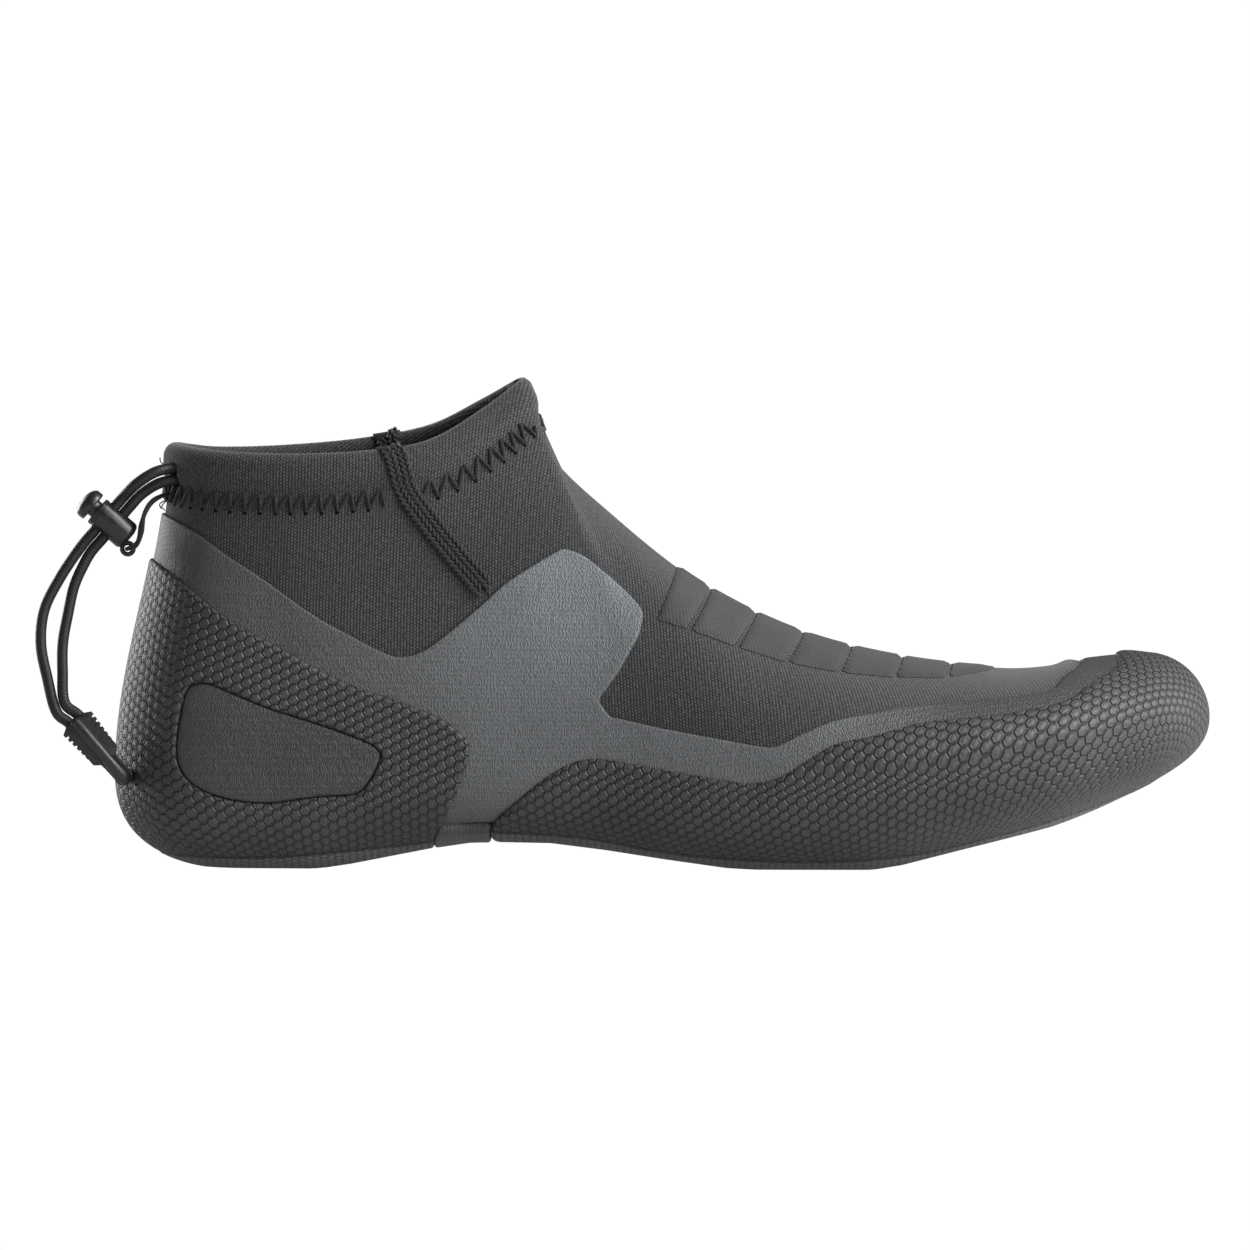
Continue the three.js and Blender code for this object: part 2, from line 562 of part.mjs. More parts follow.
// ---- cords ----
function tube(points, diameter, steps, sides) {
  const shape = new THREE.Shape();
  shape.absarc(0, 0, diameter / 2, 0, Math.PI * 2, false);
  const path = new THREE.CatmullRomCurve3(points, false, "centripetal");
  return new THREE.ExtrudeGeometry(shape, {
    steps,
    curveSegments: sides,
    bevelEnabled: false,
    extrudePath: path,
  });
}
const at = (x, y, z) => new THREE.Vector3(x * KX, y * KHEEL, z * KZ);
// The channel runs from one side of the eyelet right round to the other.
// It follows the middle of the hem's hollow, found on the net half a panel's thickness in.
const hollowMiddle = hemNet.points
  .map((p, i) => p.clone().addScaledVector(hemNet.normals[i], -NEOPRENE_T / 2));
function nearestInHollow(q) {
  const triangle = new THREE.Triangle();
  const near = new THREE.Vector3();
  let best = hollowMiddle[0];
  for (const [a, b, c] of hemNet.faces) {
    triangle.set(hollowMiddle[a], hollowMiddle[b], hollowMiddle[c]);
    triangle.closestPointToPoint(q, near);
    if (near.distanceTo(q) < best.distanceTo(q)) best = near.clone();
  }
  return best;
}
const CHANNEL_DEPTH = HEM_FOLD + (HEM_HEIGHT - PANEL_TUCK - HEM_FOLD) / 2;
const tunnelPoints = [];
for (let i = 0; i <= 72; i++) {
  const f = 0.105 + (0.91 * i) / 72;
  const { p, down } = collarFrame(f % 1);
  tunnelPoints.push(nearestInHollow(p.addScaledVector(down, CHANNEL_DEPTH)));
}

// ---- cord lock: local x along the cord, y across, z along the barrel from rim to tail ----
const RIM = at(-3.9, -14, 91.1);
const BARREL_AXIS = new THREE.Vector3(0.76, 0, -0.65).normalize();
const CORD_AXIS = new THREE.Vector3(-0.65, 0, -0.76).normalize();
const lockFrame = new THREE.Matrix4()
  .makeBasis(CORD_AXIS, new THREE.Vector3(0, 1, 0), BARREL_AXIS)
  .setPosition(RIM);
const inLock = (x, y, z) => new THREE.Vector3(x, y, z).applyMatrix4(lockFrame);
const CORD_1 = 1.5 + CORD_D / 2;
const CORD_2 = CORD_1 + CORD_D + 0.05;
const HOLE_TOP = CORD_1 - CORD_D / 2 - CORD_GAP;
const HOLE_END = CORD_2 + CORD_D / 2 + CORD_GAP;
const boreR = LOCK_D / 2 - 0.85;
const stemR = boreR - SLIDE_GAP;
const crossbar = HOLE_END + 0.7;
const boreDepth = LOCK_LENGTH - 0.7;

function turned(profile, segments) {
  const g = new THREE.LatheGeometry(profile.map((p) => new THREE.Vector2(p[0], p[1])), segments);
  g.rotateX(Math.PI / 2);
  return upright(solid(g));
}
const upright = (s) => (s.volume() < 0 ? s.mirror([1, 0, 0]) : s);
function crossHole(from, to) {
  const w = CORD_D / 2 + CORD_GAP;
  return box(-8, 8, -w, w, from, to);
}
const lockBody = turned(
  [[0, 0], [LOCK_D / 2 - 0.35, 0], [LOCK_D / 2, 0.35], [LOCK_D / 2, LOCK_LENGTH - 1.4],
    [LOCK_D / 2 - 0.7, LOCK_LENGTH - 0.4], [LOCK_D / 2 - 1.9, LOCK_LENGTH], [0, LOCK_LENGTH]],
  28,
)
  .subtract(solid(new THREE.CylinderGeometry(boreR, boreR, boreDepth + 1, 24)
    .rotateX(Math.PI / 2).translate(0, 0, (boreDepth - 1) / 2)))
  .subtract(crossHole(HOLE_TOP, HOLE_END))
  .add(solid(new THREE.TorusGeometry(1.45, 0.6, 8, 16)
    .rotateX(Math.PI / 2).translate(2.3, 0, LOCK_LENGTH + 1.25)));
const headLow = -BUTTON_TRAVEL - SLIDE_GAP;
const plunger = turned(
  [[0, headLow - BUTTON_H], [BUTTON_D / 2 - 0.9, headLow - BUTTON_H], [BUTTON_D / 2, headLow - BUTTON_H + 0.8],
    [BUTTON_D / 2, headLow - 0.3], [BUTTON_D / 2 - 0.3, headLow], [stemR - 0.5, headLow],
    [stemR - 0.5, 0.1], [stemR, 0.1], [stemR, crossbar], [0, crossbar]],
  28,
).subtract(crossHole(HOLE_TOP - BUTTON_TRAVEL, HOLE_END));
const springPoints = [];
const springFrom = crossbar + 0.1 + SPRING_WIRE_D / 2;
const springTo = boreDepth - 0.1 - SPRING_WIRE_D / 2;
for (let i = 0; i <= 30; i++) {
  const a = (i / 30) * Math.PI * 2 * 2.5;
  const z = springFrom + ((springTo - springFrom) * i) / 30;
  springPoints.push(new THREE.Vector3(1.7 * Math.cos(a), 1.7 * Math.sin(a), z));
}

// ---- free cords ----
const CORD_END = at(-8.9, 0, 37.6);
CORD_END.y = CLIP_SIDE;
const CLIP_DIR = PIVOT.clone().sub(CORD_END).normalize();
const CLIP_ACROSS = new THREE.Vector3().crossVectors(new THREE.Vector3(0, 1, 0), CLIP_DIR);
const inClip = (along, across) =>
  PIVOT.clone().addScaledVector(CLIP_DIR, along - CLIP_LENGTH).addScaledVector(CLIP_ACROSS, across);
const outerCord = [
  at(16.4, -13.3, 102), at(11.2, -16.4, 100.9), at(6.2, -16.4, 97.8),
  inLock(-4.4, 0, CORD_1), inLock(0, 0, CORD_1), inLock(4.4, 0, CORD_1),
  at(-8.2, -14.2, 81), at(-13.5, -15, 73.5), at(-17.2, -16.2, 65.8), at(-18, -17.6, 57.5),
  at(-16.4, -19, 49.1), inClip(-4.6, 2.2), inClip(-1, 1.55), inClip(3, 1.55),
];
const innerCord = [
  at(16.2, -13.3, 98.9), at(12, -14.2, 98), at(7.4, -13.6, 95.2),
  inLock(-4.4, 0, CORD_2), inLock(0, 0, CORD_2), inLock(4.4, 0, CORD_2),
  at(-7.2, -14.6, 77.4), at(-9.6, -15.4, 72), at(-11.2, -16.6, 64.7), at(-12.4, -18, 57.5),
  at(-12.4, -19.4, 50.5), inClip(-5.2, -0.9), inClip(-1, -1.55), inClip(3, -1.55),
];
const tetherCord = [
  at(12.2, -9.8, 94.4), at(9.6, -13.6, 93), at(8.2, -17, 90), at(7.6, -17.6, 85.4), at(6, -16.6, 82),
  inLock(2.3, -1.2, LOCK_LENGTH + 1.25), inLock(2.3, 1.2, LOCK_LENGTH + 1.25),
  at(6.2, -10.6, 83), at(7.2, -9.4, 88), at(9, -8.6, 92.4), at(11.8, -7.6, 94.6),
];

// ---- clip, drawn in its own plane: x along the clip from the cords to the stud, y across ----
function clipPlate(outline, from, thickness) {
  const g = new THREE.ExtrudeGeometry(outline, { depth: thickness, bevelEnabled: false, curveSegments: 10 });
  const basis = new THREE.Matrix4()
    .makeBasis(CLIP_DIR, CLIP_ACROSS, new THREE.Vector3().crossVectors(CLIP_DIR, CLIP_ACROSS));
  const depthDir = new THREE.Vector3().crossVectors(CLIP_DIR, CLIP_ACROSS);
  basis.setPosition(
    PIVOT.clone().addScaledVector(CLIP_DIR, -CLIP_LENGTH).addScaledVector(depthDir, from),
  );
  g.applyMatrix4(basis);
  return solid(g);
}
const eyeR = STUD_R + STUD_GAP;
const web = new THREE.Shape();
web.moveTo(3.9, -2.4);
web.lineTo(12.4, -2.4);
web.quadraticCurveTo(14, -2.3, 15.2, -2);
web.absarc(CLIP_LENGTH, 0, 2.35, -Math.PI * 0.62, Math.PI * 0.62, false);
web.quadraticCurveTo(14, 2.3, 12.4, 2.4);
web.lineTo(3.9, 2.4);
web.closePath();
const eye = new THREE.Path();
eye.absarc(CLIP_LENGTH, 0, eyeR, 0, Math.PI * 2, true);
web.holes.push(eye);
const grip = new THREE.Shape();
grip.moveTo(-0.6, -3.1);
const RIBS = 5;
for (let i = 0; i < RIBS; i++) {
  const x = 0.4 + i * 2.1;
  grip.lineTo(x, -4.3);
  grip.lineTo(x + 1.3, -4.3);
  grip.lineTo(x + 1.7, -3.6);
}
grip.lineTo(12.6, -2.6);
grip.lineTo(13.4, 0);
grip.lineTo(12.6, 2.6);
for (let i = RIBS - 1; i >= 0; i--) {
  const x = 0.4 + i * 2.1;
  grip.lineTo(x + 1.7, 3.6);
  grip.lineTo(x + 1.3, 4.3);
  grip.lineTo(x, 4.3);
}
grip.lineTo(-0.6, 3.1);
grip.closePath();
const clipBody = clipPlate(web, -CLIP_WEB_T / 2, CLIP_WEB_T);
const coverInner = Math.max(CLIP_WEB_T / 2, CORD_D / 2) + LAYER_GAP;
const coverA = clipPlate(grip, coverInner, CLIP_COVER_T);
const coverB = clipPlate(grip, -coverInner - CLIP_COVER_T, CLIP_COVER_T);

// ---- finishes ----
const paint = (color, roughness) => new THREE.MeshStandardMaterial({ color, roughness, metalness: 0 });
const finish = {
  neoprene: paint(0x454648, 0.9),
  hem: paint(0x434446, 0.9),
  tape: paint(0x2d2e30, 0.85),
  overlay: paint(0x595a5c, 0.72),
  rubber: paint(0x454648, 0.7),
  pad: paint(0x48494b, 0.62),
  board: paint(0x2e2e30, 0.9),
  cord: paint(0x2b2c2e, 0.8),
  plastic: paint(0x2c2d30, 0.4),
  steel: new THREE.MeshStandardMaterial({ color: 0x9a9c9e, roughness: 0.35, metalness: 1 }),
};

const boot = new THREE.Group();
function put(name, shape, material) {
  const m = shape.getMesh();
  const step = m.numProp;
  const data = new Float32Array(m.numVert * 3);
  for (let i = 0; i < m.numVert; i++) {
    data.set(m.vertProperties.subarray(i * step, i * step + 3), i * 3);
  }
  const g = new THREE.BufferGeometry()
    .setAttribute("position", new THREE.BufferAttribute(data, 3))
    .setIndex(new THREE.BufferAttribute(new Uint32Array(m.triVerts), 1));
  g.computeVertexNormals();
  const mesh = new THREE.Mesh(g, material.clone());
  mesh.name = name;
  boot.add(mesh);
  return mesh;
}
const moved = (s) => s.transform(lockFrame.elements.slice());

put("quarter_panel", quarter, finish.neoprene);
put("vamp_panel", vamp, finish.neoprene);
put("collar_hem_rear", hemRear, finish.hem);
put("collar_hem_front", hemFront, finish.hem);
put("seam_tape_lateral", tapeOn(-1), finish.tape);
put("seam_tape_medial", tapeOn(1), finish.tape);
put("overlay_lateral", overlayOn(-1), finish.overlay);
put("overlay_medial", overlayOn(1), finish.overlay);
put("heel_outsole", heelOutsole, finish.rubber);
put("heel_pad_lateral", heelPad(-1), finish.overlay);
put("heel_pad_medial", heelPad(1), finish.overlay);
put("forefoot_outsole", forefootOutsole, finish.rubber);
put("arch_bridge", bridge, finish.overlay);
put("sole_board", layer(boardNet, 0, -BOARD_T), finish.board);
const bedTop = -NEOPRENE_T - LAYER_GAP - FOOTBED_T;
put("footbed", layer(footbedNet, -NEOPRENE_T - LAYER_GAP / Math.min(1, KZ), bedTop), finish.board);
for (let k = 0; k + 1 < PAD_LINES.length; k++) put("instep_pad_" + (k + 1), instepPad(k), finish.pad);
put("draw_cord_tunnel", solid(tube(tunnelPoints, TUNNEL_CORD_D, Math.round(48 * KX), 4)), finish.cord);
put("draw_cord_outer", solid(tube(outerCord, CORD_D, 28, 4)), finish.cord);
put("draw_cord_inner", solid(tube(innerCord, CORD_D, 28, 4)), finish.cord);
put("lock_tether", solid(tube(tetherCord, TETHER_D, 24, 4)), finish.cord);
put("lock_barrel", moved(lockBody), finish.plastic);
put("lock_plunger", moved(plunger), finish.plastic);
put("lock_spring", moved(solid(tube(springPoints, SPRING_WIRE_D, 30, 3))), finish.steel);
put("clip_body", clipBody, finish.plastic);
put("clip_cover_lateral", coverA, finish.plastic);
put("clip_cover_medial", coverB, finish.plastic);

// The part's origin: middle of the boot without its free cord pieces, on the ground.
const LOOSE = ["draw_cord_outer", "draw_cord_inner", "lock_tether", "lock_barrel", "lock_plunger",
  "lock_spring", "clip_body", "clip_cover_lateral", "clip_cover_medial"];
const bounds = new THREE.Box3();
for (const mesh of boot.children) {
  if (!LOOSE.includes(mesh.name)) bounds.expandByObject(mesh, true);
}
const shift = new THREE.Vector3(
  -(bounds.min.x + bounds.max.x) / 2,
  -(bounds.min.y + bounds.max.y) / 2,
  -bounds.min.z,
);
for (const mesh of boot.children) mesh.geometry.translate(shift.x, shift.y, shift.z);

export default boot;
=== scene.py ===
# %% [markdown]
# # A neoprene water boot
# The boot is a low slipper of 3 mm neoprene: a rear quarter and a front vamp joined by a
# taped side seam, a folded collar hem with an elastic draw cord, a thin printed overlay, two
# moulded rubber cups and a row of soft pads over the instep. The frame gives every part's
# place in metres, so this script only adds the looks.

# %% Load the frame
import math

import bpy
import numpy as np
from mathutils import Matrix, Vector


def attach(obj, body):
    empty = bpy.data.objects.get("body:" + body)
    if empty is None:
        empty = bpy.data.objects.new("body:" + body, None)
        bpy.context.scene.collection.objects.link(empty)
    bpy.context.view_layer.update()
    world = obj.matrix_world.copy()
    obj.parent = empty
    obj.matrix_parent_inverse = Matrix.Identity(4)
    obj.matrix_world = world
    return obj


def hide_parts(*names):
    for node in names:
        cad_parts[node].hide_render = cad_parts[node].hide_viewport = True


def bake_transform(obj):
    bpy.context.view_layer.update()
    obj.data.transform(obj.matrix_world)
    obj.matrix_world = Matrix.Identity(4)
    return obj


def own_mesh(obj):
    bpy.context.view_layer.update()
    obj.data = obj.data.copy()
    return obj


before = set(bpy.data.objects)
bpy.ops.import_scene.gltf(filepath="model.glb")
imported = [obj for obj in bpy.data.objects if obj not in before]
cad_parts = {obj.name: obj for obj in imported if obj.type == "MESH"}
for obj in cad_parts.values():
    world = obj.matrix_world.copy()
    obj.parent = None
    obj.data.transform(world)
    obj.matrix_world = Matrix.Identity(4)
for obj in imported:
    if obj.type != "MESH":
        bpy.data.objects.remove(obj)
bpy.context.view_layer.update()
MM = 0.001
TAU = 2 * math.pi
# The frame's origin is the middle of the boot on the ground; the tables below start at the heel.
ORIGIN = np.array([140.016, -0.501, 0.0])


def to_frame(points):
    """Millimetres measured from the heel to metres in the frame."""
    return (np.asarray(points, float) - ORIGIN) * MM


# %% [markdown]
# The view is a long lens at ankle height, level with the side of the boot. A long lens
# keeps the two ends of the boot the same size, as a product picture does.

# %% Camera
camera_data = bpy.data.cameras.new("camera")
camera = bpy.data.objects.new("camera", camera_data)
bpy.context.scene.collection.objects.link(camera)
bpy.context.scene.camera = camera
VIEW_WIDTH = 0.3155
DISTANCE = 2.5
camera_data.sensor_width = 36
camera_data.lens = 36 * DISTANCE / VIEW_WIDTH
aim = Vector((-0.0098, -0.03, 0.0624))
tilt = math.radians(1.5)
camera.location = aim + Vector((0, -math.cos(tilt), math.sin(tilt))) * DISTANCE
camera.rotation_euler = (math.pi / 2 - tilt, 0, 0)
camera_data.clip_end = 20
print("camera lens", round(camera_data.lens, 1), "mm")

# %% [markdown]
# Curves through points are Catmull-Rom splines. The closed one draws the widest outline and
# the collar, the open one the ridge of the instep, and the centripetal one the cords.

# %% Curves through points


def catmull(points, f, closed=False):
    """Uniform Catmull-Rom: in each span b..c with neighbours a and d, at w in 0..1, the point is
    (2b + (c-a)w + (2a-5b+4c-d)w^2 + (3b-a-3c+d)w^3) / 2."""
    p = np.asarray(points, float)
    n = len(p)
    f = np.asarray(f, float)
    if closed:
        g = f * n
        i = np.floor(g).astype(int)
        a, b, c, d = (p[(i + k) % n] for k in (-1, 0, 1, 2))
    else:
        g = f * (n - 1)
        i = np.clip(np.floor(g).astype(int), 0, n - 2)
        q = np.vstack([2 * p[0] - p[1], p, 2 * p[-1] - p[-2]])
        a, b, c, d = (q[i + k] for k in (0, 1, 2, 3))
    w = (g - i)[..., None]
    return (2 * b + (c - a) * w + (2 * a - 5 * b + 4 * c - d) * w**2
            + (3 * b - a - 3 * c + d) * w**3) / 2


def centripetal(points, steps):
    """Centripetal Catmull-Rom: a Hermite cubic per span whose knot gaps are the square roots
    of the distances, so the curve neither loops nor overshoots."""
    p = np.asarray(points, float)
    q = np.vstack([2 * p[0] - p[1], p, 2 * p[-1] - p[-2]])
    g = np.linspace(0, len(p) - 1, steps + 1)
    i = np.clip(g.astype(int), 0, len(p) - 2)
    w = (g - i)[:, None]
    a, b, c, d = (q[i + k] for k in range(4))
    gap = [np.sqrt(np.linalg.norm(v - u, axis=1))[:, None] for u, v in ((a, b), (b, c), (c, d))]
    m1 = ((b - a) / gap[0] - (c - a) / (gap[0] + gap[1]) + (c - b) / gap[1]) * gap[1]
    m2 = ((c - b) / gap[1] - (d - b) / (gap[1] + gap[2]) + (d - c) / gap[2]) * gap[1]
    return (b * (2 * w**3 - 3 * w**2 + 1) + m1 * (w**3 - 2 * w**2 + w)
            + c * (3 * w**2 - 2 * w**3) + m2 * (w**3 - w**2))


def ease(a, b, x):
    """Smoothstep: 0 below a, 1 above b, 3k^2 - 2k^3 between."""
    k = np.clip((np.asarray(x, float) - a) / (b - a), 0, 1)
    return k * k * (3 - 2 * k)


# %% [markdown]
# Every mesh goes through one function. It takes whole arrays of corners and faces, one number
# per corner for each named attribute, and a place in millimetres per face corner for the
# pattern that follows the surface.

# %% Arrays to a mesh


def unit(v):
    """Each row divided by its length."""
    return v / np.maximum(np.linalg.norm(v, axis=-1, keepdims=True), 1e-12)


SHARP_ANGLE = math.radians(50)


def make_object(name, points, faces, uv=None, attributes=None):
    """A mesh object at the origin from points in millimetres and triangles or quads (-1 ends a
    triangle's row); uv holds one pair per face corner."""
    faces = np.asarray(faces)
    mesh = bpy.data.meshes.new(name)
    used = faces >= 0
    sizes = used.sum(axis=1)
    starts = np.concatenate([[0], np.cumsum(sizes)[:-1]])
    mesh.vertices.add(len(points))
    mesh.vertices.foreach_set("co", to_frame(points).astype(np.float32).ravel())
    mesh.loops.add(int(sizes.sum()))
    mesh.loops.foreach_set("vertex_index", faces[used].astype(np.int32))
    mesh.polygons.add(len(faces))
    mesh.polygons.foreach_set("loop_start", starts.astype(np.int32))
    mesh.polygons.foreach_set("use_smooth", np.ones(len(faces), bool))
    if uv is not None:
        layer = mesh.uv_layers.new(name="surface_mm")
        layer.uv.foreach_set("vector", np.asarray(uv, np.float32).ravel())
    for key, values in (attributes or {}).items():
        a = mesh.attributes.new(key, "FLOAT", "POINT")
        a.data.foreach_set("value", np.asarray(values, np.float32))
    mesh.update(calc_edges=True)
    mesh.validate()
    mesh.set_sharp_from_angle(angle=SHARP_ANGLE)
    o = bpy.data.objects.new(name, mesh)
    bpy.context.scene.collection.objects.link(o)
    print(f"{name}: {len(points)} points, {len(faces)} faces")
    return o


def grid_faces(rows, cols, wrap=False):
    """Quads of a rows x cols grid of points, row by row; wrap joins the last column to the first."""
    i, j = np.meshgrid(np.arange(rows - 1), np.arange(cols if wrap else cols - 1), indexing="ij")
    k = (j + 1) % cols
    return np.stack([i * cols + j, i * cols + k, (i + 1) * cols + k, (i + 1) * cols + j],
                    axis=-1).reshape(-1, 4)


# %% [markdown]
# The draw cord is one elastic cord of 2.8 mm. It leaves the eyelet at the back of the collar
# as two strands, passes through the cord lock and ends in a ribbed clip on a stud of the heel
# rubber. Each strand is a tube along a curve; its frames are carried along the path without
# twist, so the braid runs straight down the cord.

# %% The lock's and the clip's own directions
RIM = np.array([-3.9, -14.0, 91.1])
BARREL_AXIS = unit(np.array([0.76, 0, -0.65]))
CORD_AXIS = unit(np.array([-0.65, 0, -0.76]))
CORD_D = 2.8
NEAR_CORD = 2.9
FAR_CORD = NEAR_CORD + CORD_D + 0.05
TETHER_D = 1.1
EYE_Z = 12.25
CORD_END = np.array([-8.9, -20.8, 37.6])
PIVOT = np.array([3.1, -20.8, 23.8])
CLIP_DIR = unit(PIVOT - CORD_END)
CLIP_ACROSS = np.cross([0.0, 1.0, 0.0], CLIP_DIR)
CLIP_LENGTH = 18.3


def in_lock(p):
    """Lock places (along the cord, across, along the barrel) to millimetres from the heel."""
    p = np.asarray(p, float)
    return (RIM + p[..., :1] * CORD_AXIS + p[..., 1:2] * np.array([0.0, 1, 0])
            + p[..., 2:3] * BARREL_AXIS)


def in_clip(along, across):
    """Clip places, measured from the cords' end towards the stud, to millimetres from the heel."""
    return PIVOT + CLIP_DIR * (along - CLIP_LENGTH) + CLIP_ACROSS * across


def through_lock(z):
    """Points that carry a cord straight through the barrel at z, wherever the lock slides."""
    return [in_lock([x, 0, z]) for x in (-6.4, -3, 0, 4.4, 9.2)]


OUTER_ROUTE = [(16.4, -13.3, 102), (11.2, -16.4, 100.9), (6.2, -16.4, 97.8),
               *through_lock(NEAR_CORD), (-13.5, -15, 73.5),
               (-17.2, -16.2, 65.8), (-18, -17.6, 57.5), (-16.4, -19, 49.1),
               in_clip(-4.6, 2.2), in_clip(-1, 1.55), in_clip(3, 1.55)]
INNER_ROUTE = [(16.2, -13.3, 98.9), (12, -14.2, 98), (7.4, -13.6, 95.2),
               *through_lock(FAR_CORD), (-7.2, -14.6, 77.4), (-9.6, -15.4, 72),
               (-11.2, -16.6, 64.7), (-12.4, -18, 57.5), (-12.4, -19.4, 50.5),
               in_clip(-5.2, -0.9), in_clip(-1, -1.55), in_clip(3, -1.55)]
TETHER_ROUTE = [(14.2, -10.4, 95.4), (10.2, -13.4, 93.6), (8.2, -17, 90), (7.6, -17.6, 85.4),
                (6, -16.6, 82), in_lock([2.3, -1.2, EYE_Z]), in_lock([2.3, 1.2, EYE_Z]),
                (6.2, -10.6, 83), (7.2, -9.4, 88), (9.6, -8.4, 92.8), (13.8, -7.4, 95.6)]

# %% Tubes along a path


def end_fans(rings, sides):
    """Triangles that close a grid of rings with the two tips stored after its points."""
    j = np.arange(sides)
    k = (j + 1) % sides
    last = (rings - 1) * sides
    tip = np.full(sides, rings * sides)
    none = np.full(sides, -1)
    return np.concatenate([np.stack([k, j, tip, none], axis=1),
                           np.stack([last + j, last + k, tip + 1, none], axis=1)])


def frames_along(path):
    """Tangents, and two directions square to them that turn with the path and never twist:
    each step projects the last direction off the new tangent."""
    t = unit(np.gradient(path, axis=0))
    start = np.cross(t[0], [0.3, 1.0, 0.2])
    side = [start / np.linalg.norm(start)]
    for k in range(1, len(t)):
        d = side[-1] - t[k] * (side[-1] @ t[k])
        side.append(d / np.linalg.norm(d))
    side = np.array(side)
    return t, side, np.cross(t, side)


def tube(path, radius, sides):
    """Points r(cos a, sin a) in the frame of each path point, closed by a domed end at both
    ends; the pattern's place is (mm along, mm around)."""
    t, n, b = frames_along(path)
    run = np.concatenate([[0], np.cumsum(np.linalg.norm(np.diff(path, axis=0), axis=1))])
    radius = np.broadcast_to(radius, len(path))
    a = np.arange(sides) / sides * TAU
    ring = np.cos(a)[None, :, None] * n[:, None] + np.sin(a)[None, :, None] * b[:, None]
    body = path[:, None] + ring * radius[:, None, None]
    caps = [(0, -1, 0.35, 0.97), (0, -1, 0.8, 0.6), (-1, 1, 0.35, 0.97), (-1, 1, 0.8, 0.6)]
    dome = [path[k] + t[k] * radius[k] * s * out + ring[k] * radius[k] * wide
            for k, s, out, wide in caps]
    tips = [path[0] - t[0] * radius[0], path[-1] + t[-1] * radius[-1]]
    rows = np.concatenate([[dome[1], dome[0]], body, [dome[2], dome[3]]])
    m = len(rows)
    points = np.concatenate([rows.reshape(-1, 3), tips])
    quads = grid_faces(m, sides, wrap=True)
    j = np.arange(sides)
    faces = np.concatenate([quads, end_fans(m, sides)])
    along = np.concatenate([[run[0] - 1, run[0] - 0.5], run, [run[-1] + 0.5, run[-1] + 1]])
    girth = TAU * radius.mean()
    uv = np.stack([np.append(np.repeat(along, sides), [along[0], along[-1]]),
                   np.append(np.tile(j / sides * girth, m), [0, 0])], axis=1)
    uv = uv[faces[faces >= 0]]
    quad_uv = uv[:len(quads) * 4].reshape(-1, 4, 2)
    seam = np.tile(j == sides - 1, m - 1)
    quad_uv[seam, 1, 1] = girth
    quad_uv[seam, 2, 1] = girth
    return points, faces, uv


def length_of(path):
    """Sum of the distances between neighbouring points."""
    return float(np.linalg.norm(np.diff(path, axis=0), axis=1).sum())


# %% The two strands and the tether
cord_paths = {"cord_outer": centripetal(OUTER_ROUTE, 180),
              "cord_inner": centripetal(INNER_ROUTE, 180),
              "tether": centripetal(TETHER_ROUTE, 120)}
cords = {}
for name, path in cord_paths.items():
    radius = (TETHER_D if name == "tether" else CORD_D) / 2
    cords[name] = make_object(name, *tube(path, radius, 10 if name == "tether" else 20))
    print(name, "length", round(length_of(path), 1), "mm")

# %% [markdown]
# The last is the foot-shaped block that the boot is pulled over. Each section starts at the
# spine under the foot, curves out as a superellipse to the widest line, and rises on a Bezier
# curve to the collar or the ridge. Two numbers name a place on it: the station along the
# outline, negative on the outer side, and the row from 0 at the spine through 1 at the widest
# line to 2 at the top. Every panel, overlay and rubber piece is a layer of this one surface.

# %% Tables of the last, in millimetres
OUTLINE_LATERAL = [
    (1.9, 0, 24), (4.5, 15, 24), (18, 28.5, 25), (45, 32, 26), (75, 33, 27), (98, 34, 28),
    (115, 36, 28), (130, 38.5, 28), (143, 41.5, 27), (157, 44.5, 27), (173, 47, 27),
    (190, 48, 28), (208, 47, 29), (228, 42.5, 32), (248, 33, 35), (267, 16, 38), (278, -8, 39)]
OUTLINE_MEDIAL = [
    (1.9, 0, 24), (4.5, 15, 24), (18, 28.5, 25), (45, 30.5, 27), (75, 28.5, 30), (98, 28, 32),
    (115, 29.5, 32), (130, 32, 31), (143, 35.5, 30), (157, 39, 29), (173, 42.5, 29),
    (190, 45.5, 30), (208, 47, 31), (228, 46.5, 33), (249, 41, 36), (268.5, 28, 38), (278, 8, 39)]
COLLAR_LATERAL = [
    (14.2, 0, 108.4), (17, 12.5, 107.8), (26, 21.5, 106.6), (42, 26.5, 105.8), (62, 27, 106.4),
    (80, 22.5, 109.2), (94, 13, 117.5), (103.6, 0, 125)]
COLLAR_MEDIAL = [
    (14.2, 0, 108.4), (17, 12.5, 107.9), (26, 21, 107.2), (42, 25.5, 107.6), (62, 26, 109.4),
    (80, 21.5, 113), (93.5, 12, 119.8), (103.6, 0, 125)]
RIDGE = [
    (103.6, 0, 125), (110.6, 0, 106), (127.2, 0, 89.6), (149, 0, 72.6), (174.5, 0, 60),
    (201.5, 0, 53.2), (228, 0, 50.6), (246, 0, 52.2), (257.5, 1, 53.3), (264.5, 3, 52.7)]
TOP_PULL = [
    (0, 0, -30), (0, 1, -30), (-0.5, 2, -29), (0, 2, -28), (1, 3, -27), (2, 7, -24), (3, 13, -15),
    (2, 15, -4), (2, 19, -3), (1, 23, -1), (0, 26, 0), (0, 29, -0.5), (0, 31, -1), (0, 29, -1),
    (1, 23, -1), (5, 12, -0.6), (9, -3, -1)]
SPINE_X = [32, 33, 38, 55, 80, 98, 113, 126, 138, 150, 165, 180, 196, 211, 224, 232, 235]
